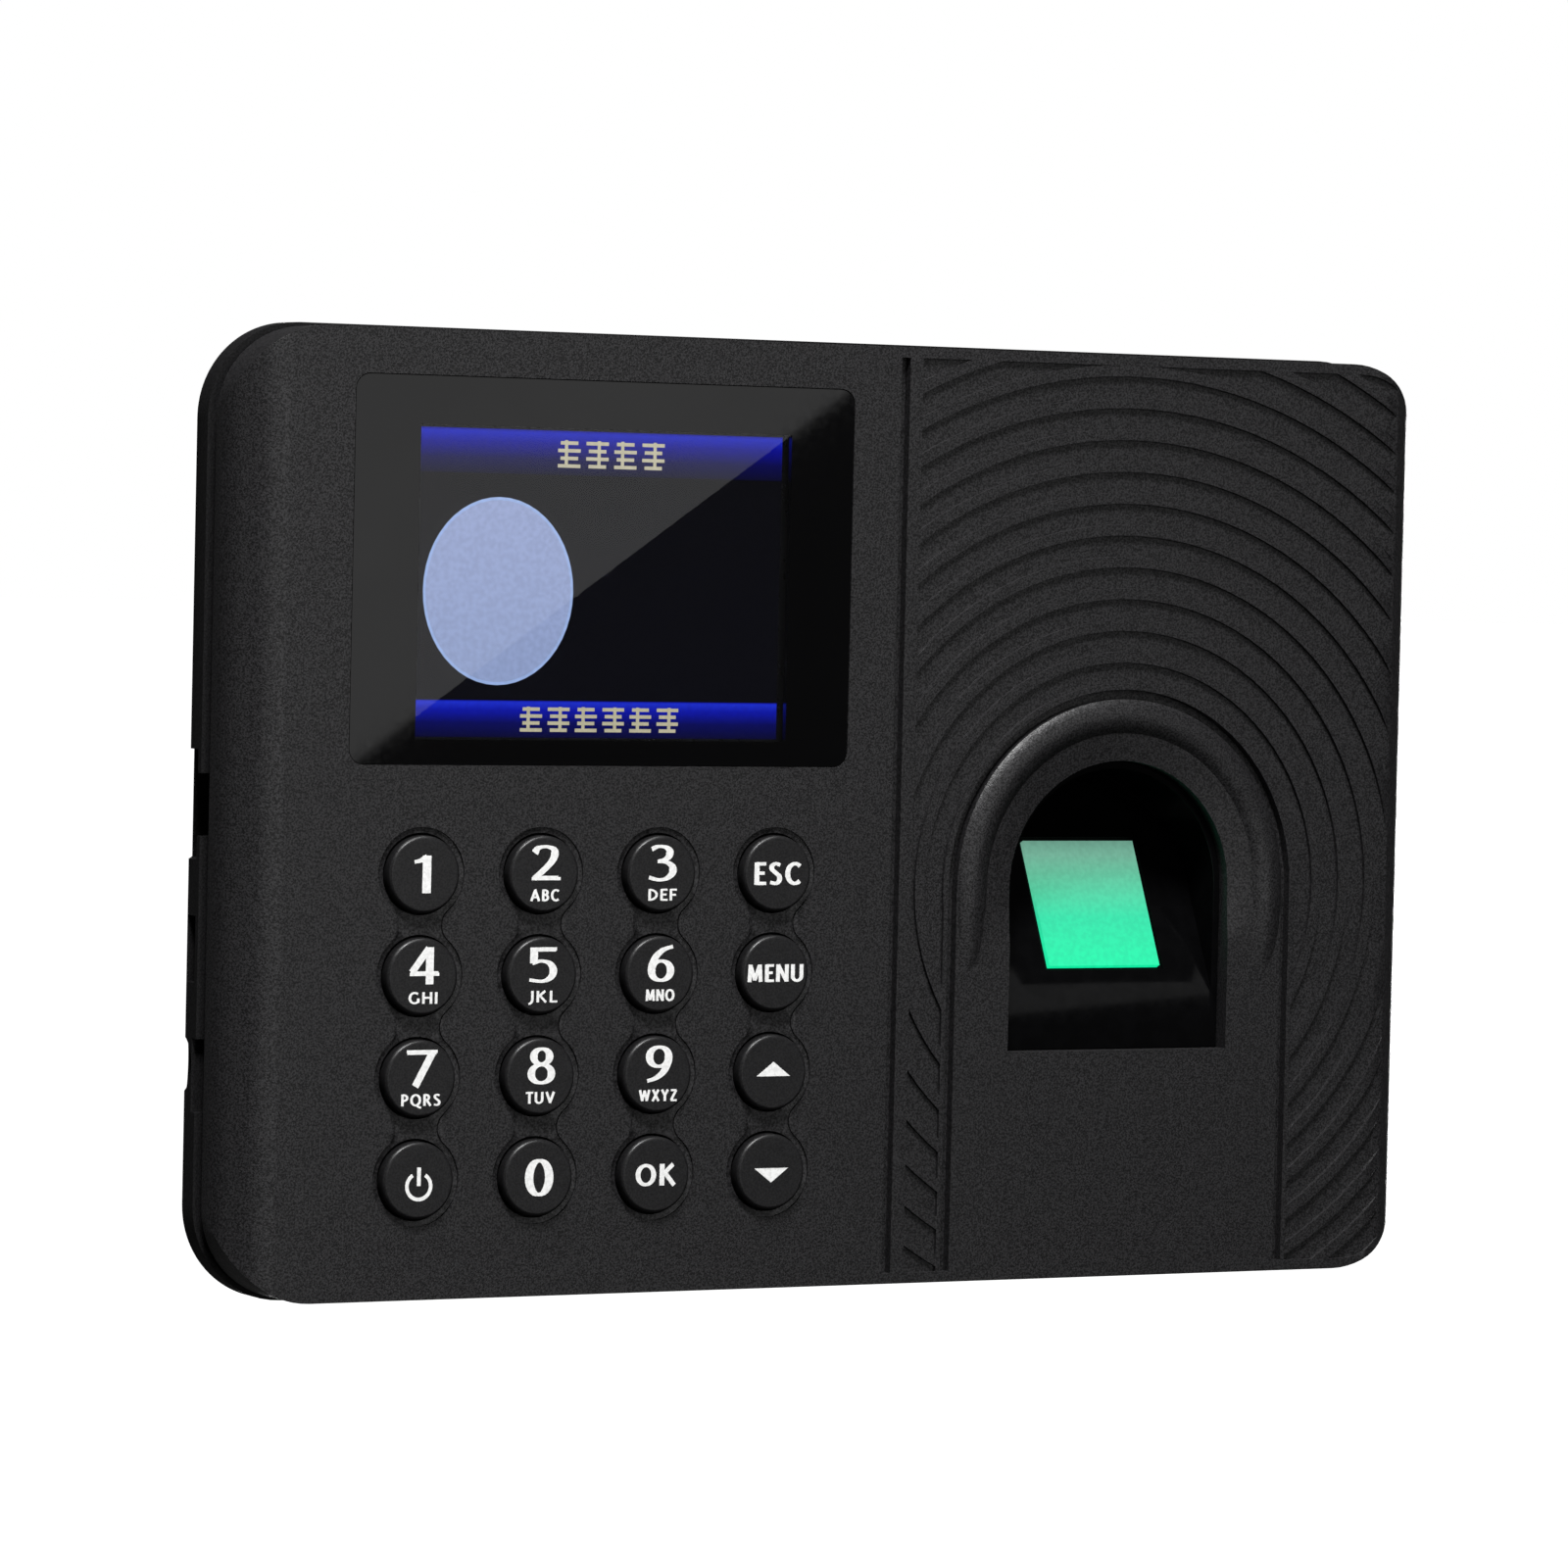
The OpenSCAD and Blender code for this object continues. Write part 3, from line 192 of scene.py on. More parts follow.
def metal(name, color, rough, stretch=(1, 1, 30), scale=700):
    """Rolled or plated steel with faint drawn lines."""
    m = Nodes(name)
    m.set(Metallic=1.0)
    mapping = m.add("ShaderNodeMapping")
    mapping.inputs["Scale"].default_value = stretch
    m.join(m.place, mapping.inputs["Vector"])
    m.place = mapping.outputs["Vector"]
    streaks = m.noise(scale, 3)
    m.join(m.ramp(streaks, [(0.3, shade(color, 0.88)), (0.7, shade(color, 1.08))]),
           m.shader.inputs["Base Color"])
    m.join(m.spread(streaks, rough - 0.06, rough + 0.08), m.shader.inputs["Roughness"])
    m.bump([(streaks, 0.003 * MM)])
    return m


def board_material():
    """Green solder mask with buried copper tracks."""
    m = Nodes("circuit_board")
    brick = m.add("ShaderNodeTexBrick")
    brick.inputs["Scale"].default_value = 260
    brick.inputs["Mortar Size"].default_value = 0.06
    brick.inputs["Color1"].default_value = (0.008, 0.075, 0.028, 1)
    brick.inputs["Color2"].default_value = (0.01, 0.085, 0.03, 1)
    brick.inputs["Mortar"].default_value = (0.02, 0.13, 0.05, 1)
    swap = m.add("ShaderNodeMapping")
    swap.inputs["Rotation"].default_value = (math.pi / 2, 0, 0)
    m.join(m.place, swap.inputs["Vector"])
    m.join(swap.outputs["Vector"], brick.inputs["Vector"])
    m.join(brick.outputs["Color"], m.shader.inputs["Base Color"])
    m.join(m.spread(m.noise(800), 0.25, 0.35), m.shader.inputs["Roughness"])
    m.bump([(brick.outputs["Fac"], 0.02 * MM)])
    return m


def clear_glass():
    """Flat glass with a barely uneven face."""
    m = Nodes("lens_glass")
    m.set(Base_Color=(0.93, 0.94, 0.95, 1), Transmission_Weight=1.0, IOR=1.5)
    m.join(m.spread(m.noise(35, 2), 0.0, 0.01), m.shader.inputs["Roughness"])
    m.bump([(m.noise(8, 1), 0.01 * MM)])
    return m


def height_share(m, low, high):
    """0 at the height low and 1 at the height high."""
    split = m.add("ShaderNodeSeparateXYZ")
    m.join(m.place, split.inputs["Vector"])
    return m.spread(split.outputs["Z"], 0, 1, low, high)


def lit(name, stops, low, high, strength, base=(0.001, 0.001, 0.002), rough=0.3, gloss=0.0):
    """A surface that glows, with a gradient of colours from low up to high."""
    m = Nodes(name)
    m.set(Base_Color=(*base, 1), Emission_Strength=strength, Specular_IOR_Level=gloss)
    cells = m.noise(1500, 1)
    color = m.ramp(height_share(m, low, high), stops)
    grade = m.add("ShaderNodeMixRGB", blend_type="MULTIPLY")
    grade.inputs["Fac"].default_value = 1
    m.join(color, grade.inputs["Color1"])
    m.join(m.ramp(cells, [(0.35, (0.9, 0.9, 0.9)), (0.65, (1, 1, 1))]), grade.inputs["Color2"])
    m.join(grade.outputs["Color"], m.shader.inputs["Emission Color"])
    m.join(m.spread(cells, rough - 0.05, rough + 0.05), m.shader.inputs["Roughness"])
    m.bump([(cells, 0.001 * MM)])
    return m


MATERIALS = {
    "shell_plastic": plastic(
        "shell_plastic", (0.0123, 0.0119, 0.0128), 0.42, 5200, 0.034 * MM, 0.6, gloss=0.4),
    "rear_plastic": plastic("rear_plastic", (0.007, 0.0068, 0.0073), 0.55, 5200, 0.01 * MM, 0.4, gloss=0.18),
    "key_plastic": plastic("key_plastic", (0.009, 0.0088, 0.0094), 0.4, 5200, 0.008 * MM, 0.25, gloss=0.35),
    "frame_steel": metal("frame_steel", (0.6, 0.6, 0.62), 0.3),
    "screw_steel": metal("screw_steel", (0.55, 0.55, 0.56), 0.32, (1, 1, 1), 1500),
    "plate_steel": metal("plate_steel", (0.58, 0.59, 0.6), 0.38),
    "ribbon_film": plastic("ribbon_film", (0.4, 0.17, 0.03), 0.3, 800),
    "mat_rubber": plastic("mat_rubber", (0.06, 0.06, 0.065), 0.7),
    "circuit_board": board_material(),
    "sensor_plastic": plastic(
        "sensor_plastic", (0.002, 0.002, 0.0022), 0.1, 500, 0.002 * MM, swing=0.03, gloss=0.13),
    "led_lens": plastic("led_lens", (0.2, 0.8, 0.4), 0.15, 900),
    "chip_plastic": plastic("chip_plastic", (0.012, 0.012, 0.013), 0.55),
    "cable_white": plastic("cable_white", (0.55, 0.55, 0.55), 0.5),
    "capacitor_can": metal("capacitor_can", (0.5, 0.51, 0.54), 0.3),
    "connector_plastic": plastic("connector_plastic", (0.62, 0.58, 0.46), 0.45),
    "cell_steel": metal("cell_steel", (0.62, 0.62, 0.64), 0.22, (1, 1, 1), 900),
    "socket_plastic": plastic("socket_plastic", (0.006, 0.006, 0.0065), 0.4),
    "socket_steel": metal("socket_steel", (0.6, 0.6, 0.62), 0.2),
    "speaker_body": plastic("speaker_body", (0.02, 0.02, 0.023), 0.6),
    "cable_red": plastic("cable_red", (0.32, 0.015, 0.015), 0.45),
    "lens_glass": clear_glass(),
    "lcd_screen": plastic("lcd_screen", (0.004, 0.004, 0.006), 0.3),
    "sensor_window": lit(
        "sensor_window",
        [(0.0, (0.0, 1.0, 0.42)), (0.45, (0.03, 0.78, 0.4)), (0.9, (0.2, 0.5, 0.36)),
         (1.0, (0.16, 0.36, 0.27))],
        prism_low.z, prism_high.z, 0.9, base=(0.02, 0.1, 0.07), rough=0.1, gloss=0.5,
    ),
}
INK_WITH_PAINTED_GLOW = plastic("key_ink", (0.75, 0.75, 0.74), 0.5, 2500)
# the white print is also made to glow faintly: a painted highlight that makes it brighter than the lamps
# alone would
INK_WITH_PAINTED_GLOW.set(Emission_Color=(1, 1, 0.99, 1), Emission_Strength=0.22)
BORDER = plastic("border_ink", (0.0008, 0.0008, 0.001), 0.03, 60, 0.0004 * MM, 0.05, 0.01)


def finish_nodes():
    """Gives every CAD node the material of its slot."""
    for part in frame["record"]["subparts"]:
        mesh = nodes[part["node"]].data
        mesh.materials.clear()
        mesh.materials.append(MATERIALS[part["material_slot"]].material)


# ---------------------------------------------------------------- pieces


def new_piece(name, mesh, material, body):
    """A visual piece that moves with a body and takes a material slot."""
    piece = bpy.data.objects.new(name, mesh)
    bpy.context.scene.collection.objects.link(piece)
    mesh.materials.clear()
    mesh.materials.append(material.material)
    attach(piece, body)
    return piece


SHARP = math.radians(32)
FLAT = math.radians(1)
WELD = 0.004 * MM
EDGE_SEGMENTS = 2
FRONT_EDGE = 0.08 * MM
REAR_EDGE = 0.2 * MM
SENSOR_EDGE = 0.3 * MM
KEY_EDGE = 0.12 * MM


def softened(node, body, slot, width):
    """A copy of a CAD node with its sharp edges rounded over, which stands for the node."""
    work = bmesh.new()
    work.from_mesh(nodes[node].data)
    bmesh.ops.remove_doubles(work, verts=work.verts, dist=WELD)
    bmesh.ops.dissolve_limit(
        work, angle_limit=FLAT, verts=work.verts, edges=work.edges,
        use_dissolve_boundaries=False,
    )
    sharp = [e for e in work.edges if len(e.link_faces) == 2 and e.calc_face_angle(0) > SHARP]
    bmesh.ops.bevel(
        work, geom=sharp, offset=width, offset_type="OFFSET", segments=EDGE_SEGMENTS,
        profile=0.5, affect="EDGES", clamp_overlap=True,
    )
    bmesh.ops.triangulate(work, faces=[f for f in work.faces if len(f.verts) > 4])
    mesh = bpy.data.meshes.new(node + "_soft")
    work.to_mesh(mesh)
    work.free()
    for face in mesh.polygons:
        face.use_smooth = True
    mesh.set_sharp_from_angle(angle=SHARP)
    piece = new_piece(node + "_shown", mesh, MATERIALS[slot], body)
    even = piece.modifiers.new("even_normals", "WEIGHTED_NORMAL")
    even.keep_sharp = True
    even.weight = 100
    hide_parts(node)
    return piece


# ---------------------------------------------------------------- flat shapes and legends


def pen_edges(points, thick, thin):
    """Both edges of a pen stroke: its upright parts are thick wide and its level parts thin wide."""
    left, right = [], []
    last = len(points) - 1
    closed = points[0] == points[last]
    for i, (x, z) in enumerate(points):
        before = points[i - 1] if i else (points[last - 1] if closed else points[0])
        after = points[i + 1] if i < last else (points[1] if closed else points[last])
        dx, dz = after[0] - before[0], after[1] - before[1]
        run = math.hypot(dx, dz)
        dx, dz = dx / run, dz / run
        half = math.hypot(thick * dz, thin * dx) / 2
        left.append((x - dz * half, z + dx * half))
        right.append((x + dz * half, z - dx * half))
    return left, right


LAYER = 0.002 * MM
SAME_POINT = 0.001
SLAB_WELD = 0.0001 * MM


class Slabs:
    """Thin plates in the plane of the face, collected into one mesh. Outlines are in mm."""

    def __init__(self, front, thick):
        self.front, self.thick, self.layer = front, thick, 0
        self.verts, self.faces = [], []

    def ring(self, outline, rows=None):
        """A plate from its outline; rows is how many points pair up when it is a ribbon."""
        front = self.front + self.layer * LAYER
        back = self.front + self.thick
        start, count = len(self.verts), len(outline)
        self.verts += [(x * MM, front, z * MM) for x, z in outline]
        self.verts += [(x * MM, back, z * MM) for x, z in outline]
        if rows is None:
            self.faces.append([start + i for i in range(count)])
            self.faces.append([start + count + i for i in reversed(range(count))])
        else:
            for i in range(rows - 1):
                quad = [start + i, start + i + 1, start + count - 2 - i, start + count - 1 - i]
                self.faces.append(quad)
                self.faces.append([count + q for q in reversed(quad)])
        closed = rows is not None and math.dist(outline[0], outline[rows - 1]) < SAME_POINT
        for i in range(count):
            if closed and i in (rows - 1, count - 1):
                continue
            j = (i + 1) % count
            self.faces.append([start + j, start + i, start + count + i, start + count + j])

    def ribbon(self, points, thick, thin):
        """A pen stroke along the points. Each one lies a layer behind the one before."""
        left, right = pen_edges(points, thick, thin)
        self.ring(left + right[::-1], len(points))
        self.layer += 1

    def mesh(self, name):
        made = bpy.data.meshes.new(name)
        made.from_pydata(self.verts, [], self.faces)
        work = bmesh.new()
        work.from_mesh(made)
        bmesh.ops.remove_doubles(work, verts=work.verts, dist=SLAB_WELD)
        bmesh.ops.recalc_face_normals(work, faces=work.faces)
        work.to_mesh(made)
        work.free()
        return made


def curve(*points, steps=6):
    """A smooth line through the points."""
    ends = [points[0], *points, points[-1]]
    out = []
    for a, b, c, d in zip(ends, ends[1:], ends[2:], ends[3:]):
        for k in range(steps):
            t = k / steps
            out.append(tuple(
                0.5 * (2 * b[n] + (c[n] - a[n]) * t + (2 * a[n] - 5 * b[n] + 4 * c[n] - d[n]) * t ** 2
                       + (3 * b[n] - a[n] - 3 * c[n] + d[n]) * t ** 3)
                for n in (0, 1)))
    return out + [points[-1]]


def arc(cx, cz, rx, rz, start=0, end=360, steps=28):
    """Part of an ellipse, or all of it, by its angles in degrees."""
    out = []
    for k in range(steps + 1):
        turn = math.radians(start + (end - start) * k / steps)
        out.append((cx + rx * math.cos(turn), cz + rz * math.sin(turn)))
    if (end - start) % 360 == 0:
        out[-1] = out[0]
    return out


def bar(x0, z0, x1, z1):
    """A straight stroke."""
    return [(x0, z0), ((x0 + x1) / 2, (z0 + z1) / 2), (x1, z1)]


def bowl(top, low, reach):
    """The round side of a B, D, P or R, from its stem and back."""
    half = (top - low) / 2
    straight = max(0.02, reach - 1.1 * half)
    return [(0.12, top)] + arc(straight, low + half, reach - straight, half, 90, -90, 14) + [(0.12, low)]


STEM = bar(0.12, 0, 0.12, 1)
GLYPHS = {
    "0": [arc(0.37, 0.5, 0.25, 0.455)],
    "1": [bar(0.42, 0, 0.42, 1), curve((0.1, 0.83), (0.26, 0.87), (0.42, 0.965))],
    "2": [
        curve((0.1, 0.78), (0.18, 0.91), (0.36, 0.955), (0.53, 0.89), (0.57, 0.74), (0.5, 0.55),
              (0.32, 0.32), (0.1, 0.09)),
        bar(0.04, 0.085, 0.72, 0.085), bar(0.06, 0.12, 0.66, 0.12),
    ],
    "3": [
        curve((0.1, 0.88), (0.24, 0.955), (0.4, 0.94), (0.5, 0.84), (0.49, 0.7), (0.4, 0.6), (0.24, 0.545)),
        curve((0.24, 0.545), (0.44, 0.52), (0.57, 0.4), (0.57, 0.22), (0.44, 0.08), (0.26, 0.045),
              (0.05, 0.11)),
    ],
    "4": [bar(0.47, 0.97, 0.05, 0.32), bar(0.0, 0.27, 0.74, 0.27), bar(0.02, 0.31, 0.72, 0.31),
          bar(0.5, 0, 0.5, 1)],
    "5": [
        bar(0.18, 0.93, 0.64, 0.93), bar(0.18, 0.9, 0.62, 0.9), bar(0.15, 0.97, 0.15, 0.54),
        curve((0.12, 0.54), (0.3, 0.6), (0.48, 0.54), (0.57, 0.36), (0.52, 0.16), (0.34, 0.05), (0.06, 0.09)),
    ],
    "6": [
        curve((0.62, 0.965), (0.42, 0.88), (0.26, 0.7), (0.17, 0.44), (0.17, 0.28)),
        arc(0.37, 0.305, 0.21, 0.265),
    ],
    "7": [bar(0.03, 0.94, 0.68, 0.94), bar(0.04, 0.9, 0.66, 0.9), bar(0.58, 0.92, 0.22, 0)],
    "8": [arc(0.36, 0.755, 0.18, 0.205), arc(0.36, 0.285, 0.23, 0.245)],
    "9": [
        curve((0.1, 0.035), (0.3, 0.12), (0.46, 0.3), (0.55, 0.56), (0.55, 0.72)),
        arc(0.35, 0.695, 0.21, 0.265),
    ],
    "A": [bar(0.06, 0, 0.37, 0.96), bar(0.35, 1, 0.7, 0), bar(0.16, 0.33, 0.58, 0.33)],
    "B": [STEM, bowl(0.94, 0.54, 0.46), bowl(0.54, 0.06, 0.5)],
    "C": [arc(0.42, 0.5, 0.32, 0.445, 48, 312)],
    "D": [STEM, bowl(0.94, 0.06, 0.6)],
    "E": [STEM, bar(0.1, 0.94, 0.52, 0.94), bar(0.1, 0.52, 0.46, 0.52), bar(0.1, 0.06, 0.54, 0.06)],
    "F": [STEM, bar(0.1, 0.94, 0.52, 0.94), bar(0.1, 0.5, 0.46, 0.5)],
    "G": [arc(0.42, 0.5, 0.32, 0.445, 48, 318), bar(0.66, 0.1, 0.66, 0.46)],
    "H": [STEM, bar(0.62, 0, 0.62, 1), bar(0.12, 0.52, 0.62, 0.52)],
    "I": [STEM],
    "J": [curve((0.26, 1), (0.26, 0.6), (0.26, 0.2), (0.18, -0.04), (0.02, -0.14))],
    "K": [STEM, bar(0.58, 0.98, 0.16, 0.5), bar(0.26, 0.56, 0.64, 0)],
    "L": [STEM, bar(0.1, 0.06, 0.52, 0.06)],
    "M": [bar(0.13, 0, 0.17, 1), bar(0.17, 0.96, 0.44, 0.1), bar(0.42, 0.1, 0.7, 0.96),
          bar(0.71, 1, 0.77, 0)],
    "N": [bar(0.12, 0, 0.12, 1), bar(0.13, 0.97, 0.6, 0.04), bar(0.62, 0, 0.62, 1)],
    "O": [arc(0.42, 0.5, 0.33, 0.445)],
    "P": [STEM, bowl(0.94, 0.46, 0.48)],
    "Q": [arc(0.42, 0.5, 0.33, 0.445), curve((0.44, 0.1), (0.62, -0.06), (0.86, -0.16))],
    "R": [STEM, bowl(0.94, 0.5, 0.46), bar(0.28, 0.52, 0.6, 0)],
    "S": [curve((0.5, 0.88), (0.32, 0.945), (0.16, 0.86), (0.15, 0.7), (0.32, 0.53), (0.47, 0.38),
                (0.48, 0.2), (0.34, 0.06), (0.08, 0.11))],
    "T": [bar(0.04, 0.94, 0.62, 0.94), bar(0.33, 0, 0.33, 0.98)],
    "U": [bar(0.12, 1, 0.12, 0.32), arc(0.37, 0.32, 0.25, 0.265, 180, 360, 14), bar(0.62, 0.32, 0.62, 1)],
    "V": [bar(0.06, 1, 0.36, 0.04), bar(0.34, 0.04, 0.64, 1)],
    "W": [bar(0.05, 1, 0.27, 0.04), bar(0.26, 0.04, 0.48, 0.94), bar(0.46, 0.94, 0.7, 0.04),
          bar(0.68, 0.04, 0.9, 1)],
    "X": [bar(0.07, 1, 0.6, 0), bar(0.58, 1, 0.05, 0)],
    "Y": [bar(0.05, 1, 0.33, 0.5), bar(0.6, 1, 0.33, 0.5), bar(0.33, 0, 0.33, 0.54)],
    "Z": [bar(0.06, 0.94, 0.56, 0.94), bar(0.54, 0.94, 0.08, 0.06), bar(0.05, 0.06, 0.6, 0.06)],
}


LETTER_GAP = 0.1


def write(slabs, text, cx, low, height, width, thick, thin):
    """Draws text height tall and width wide, in mm, centred on cx with its foot at low.

    The pen's thick and thin widths are shares of the height.
    """
    spans = []
    for letter in text:
        xs = [x for stroke in GLYPHS[letter] for edge in pen_edges(stroke, thick, thin) for x, z in edge]
        spans.append((min(xs), max(xs)))
    total = sum(b - a for a, b in spans) + LETTER_GAP * (len(text) - 1)
    stretch = width / (total * height)
    at = 0
    for letter, (start, end) in zip(text, spans):
        slabs.layer = 0
        for stroke in GLYPHS[letter]:
            placed = [
                (cx + ((x - start + at) - total / 2) * height * stretch, low + z * height)
                for x, z in stroke
            ]
            slabs.ribbon(placed, thick * height, thin * height)
        at += end - start + LETTER_GAP


# sizes of the print, in mm from the middle of a key
DIGIT_HEIGHT = 4.4
LONE_DIGIT_HEIGHT = 4.45
DIGIT_WIDTH = 4.0
ONE_WIDTH = 2.3
ONE_LEFT = 0.4
DIGIT_RIGHT = 0.1
DIGIT_FOOT = 0.9
LONE_DIGIT_FOOT = 2.2
DIGIT_PEN = (0.23, 0.085)
LONE_DIGIT_PEN = (0.25, 0.085)
LETTER_HEIGHT = 1.38
LETTER_WIDTH = 1.3
LETTER_RIGHT = 0.05
LETTER_FOOT = 3.2
LETTER_PEN = (0.24, 0.17)
WORD_PEN = (0.25, 0.15)
ARROW_REACH = 2.3
ARROW_BASE = 0.45
ARROW_TIP = 1.3
POWER_RADIUS = 1.55
POWER_DROP = 0.65
POWER_GAP_START, POWER_GAP_END = 122, 418
POWER_PEN = 0.45
POWER_BAR = (-0.6, 1.6)
POWER_BAR_PEN = 0.5
PRINT_DEPTH = 0.05 * MM
PRINT_SET = 0.004 * MM
KEY_TOP_SET = 0.03 * MM


def legend(slabs, key, cx, cz):
    """What is printed on one key."""
    name = key[4:]
    if name in KEY_LETTERS:
        letters = KEY_LETTERS[name]
        write(slabs, name, cx + DIGIT_RIGHT, cz - DIGIT_FOOT, DIGIT_HEIGHT, DIGIT_WIDTH, *DIGIT_PEN)
        write(slabs, letters, cx + LETTER_RIGHT, cz - LETTER_FOOT, LETTER_HEIGHT,
              LETTER_WIDTH * len(letters), *LETTER_PEN)
    elif name == "1":
        write(slabs, name, cx + DIGIT_RIGHT - ONE_LEFT, cz - LONE_DIGIT_FOOT, LONE_DIGIT_HEIGHT,
              ONE_WIDTH, *LONE_DIGIT_PEN)
    elif name in GLYPHS:
        write(slabs, name, cx + DIGIT_RIGHT, cz - LONE_DIGIT_FOOT, LONE_DIGIT_HEIGHT,
              DIGIT_WIDTH, *LONE_DIGIT_PEN)
    elif key in KEY_WORDS:
        word, height, width = KEY_WORDS[key]
        write(slabs, word, cx, cz - height / 2, height, width, *WORD_PEN)
    elif name in ("up", "down"):
        way = 1 if name == "up" else -1
        foot = cz - way * ARROW_BASE
        slabs.ring([(cx - ARROW_REACH, foot), (cx + ARROW_REACH, foot), (cx, cz + way * ARROW_TIP)])
    else:
        turn = arc(cx, cz - POWER_DROP, POWER_RADIUS, POWER_RADIUS, POWER_GAP_START, POWER_GAP_END, 40)
        slabs.ribbon(turn, POWER_PEN, POWER_PEN)
        slabs.ribbon(bar(cx, cz + POWER_BAR[0], cx, cz + POWER_BAR[1]), POWER_BAR_PEN, POWER_BAR_PEN)


def legends():
    """The print on all keys, each piece moving with its key."""
    for key in KEYS:
        low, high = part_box(key)
        centre = (low + high) / 2 / MM
        slabs = Slabs(low.y + PRINT_SET, PRINT_DEPTH)
        legend(slabs, key, centre.x, centre.z)
        new_piece(key + "_legend", slabs.mesh(key + "_legend"), INK_WITH_PAINTED_GLOW, key)


def shown_keys():
    """Each key with its edges softened and its top a hair low, so that the print lies flush."""
    for key in KEYS:
        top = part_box(key)[0].y + KEY_TOP_SET
        piece = softened(key, key, "key_plastic", KEY_EDGE)
        for vert in piece.data.vertices:
            vert.co.y = max(vert.co.y, top)


# ---------------------------------------------------------------- the display


LENS_RADIUS = 1.8
PICTURE_WIDTH, PICTURE_HEIGHT = 48.96, 36.72
PANE_MARGIN = 0.25
PANE_TUCK = 0.05
PANE_SET = 0.002 * MM
PLATE_GAP = 0.03 * MM
PLATE_STEP = 0.012 * MM
PLATE_DEPTH = 0.02 * MM
TOP_BAR, LOW_BAR = 5.3, 4.4
OVAL_RIGHT, OVAL_DROP = 11.2, 19.3
OVAL_SIZE = (9.55, 10.85)
RIM_SIZE = (9.9, 11.2)
OVAL_STEPS = 48
# the lines of blocks: how many, from the left, pitch, width and height of a block
TOP_WORDS = (4, 18.7, 3.75, 3.0, 3.3)
TOP_WORDS_DROP = 4.4
LOW_WORDS = (6, 14.4, 3.65, 2.9, 3.0)
LOW_WORDS_RISE = 0.7
BLOCK_ROWS = 4
BLOCK_LINE = 0.42
BLOCK_SHORT = 0.22
BLOCK_SPACING = 3.6

picture_x = (panel_low.x + panel_high.x) / 2 / MM
picture_z = (panel_low.z + panel_high.z) / 2 / MM
picture_left, picture_right = picture_x - PICTURE_WIDTH / 2, picture_x + PICTURE_WIDTH / 2
picture_low, picture_top = picture_z - PICTURE_HEIGHT / 2, picture_z + PICTURE_HEIGHT / 2


def box_2d(x, z, width, height):
    """The outline of a rectangle from its lower left corner."""
    return [(x, z), (x + width, z), (x + width, z + height), (x, z + height)]


def lens():
    """The glass: a black printed border around a clear pane."""
    thick = lens_high.y - lens_low.y
    pane_left, pane_right = picture_left - PANE_MARGIN, picture_right + PANE_MARGIN
    pane_low, pane_top = picture_low - PANE_MARGIN, picture_top + PANE_MARGIN
    left, right, low, top = (v / MM for v in (lens_low.x, lens_high.x, lens_low.z, lens_high.z))
    outer = []
    for x, z, start in ((right, top, 0), (left, top, 90), (left, low, 180), (right, low, 270)):
        corner_x = x + math.copysign(LENS_RADIUS, picture_x - x)
        corner_z = z + math.copysign(LENS_RADIUS, picture_z - z)
        outer += arc(corner_x, corner_z, LENS_RADIUS, LENS_RADIUS, start, start + 90, 8)
    outer.append(outer[0])
    inner = [(min(max(x, pane_left), pane_right), min(max(z, pane_low), pane_top)) for x, z in outer]
    border = Slabs(lens_low.y, thick)
    border.ring(outer + inner[::-1], len(outer))
    edge = new_piece("lens_border", border.mesh("lens_border"), BORDER, "root")
    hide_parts("display_lens")
    pane = Slabs(lens_low.y + PANE_SET, thick - 2 * PANE_SET)
    pane.ring(box_2d(pane_left - PANE_TUCK, pane_low - PANE_TUCK,
                     pane_right - pane_left + 2 * PANE_TUCK, pane_top - pane_low + 2 * PANE_TUCK))
    new_piece("lens_pane", pane.mesh("lens_pane"), MATERIALS["lens_glass"], "root")


def plate(name, shapes, step, stops, low, high):
    """Thin lit plates on the panel; step counts how far in front of it they lie."""
    slab = Slabs(panel_low.y - PLATE_GAP - step * PLATE_STEP, PLATE_DEPTH)
    for shape in shapes:
        slab.ring(shape)
    new_piece(name, slab.mesh(name), lit(name, stops, low * MM, high * MM, 1), "root")


def word_blocks(line, low):
    """A line of generic blocks where the real picture has words."""
    count, start, pitch, width, height = line
    blocks = []
    for k in range(count):
        x = picture_left + start + k * pitch
        for row in range(BLOCK_ROWS):
            short = BLOCK_SHORT * width * ((row + k) % 2)
            foot = low + row * height / BLOCK_SPACING
            blocks.append(box_2d(x + short / 2, foot, width - short, BLOCK_LINE))
        blocks.append(box_2d(x + width * (0.3 + 0.2 * (k % 2)), low, BLOCK_LINE, height))
    return blocks


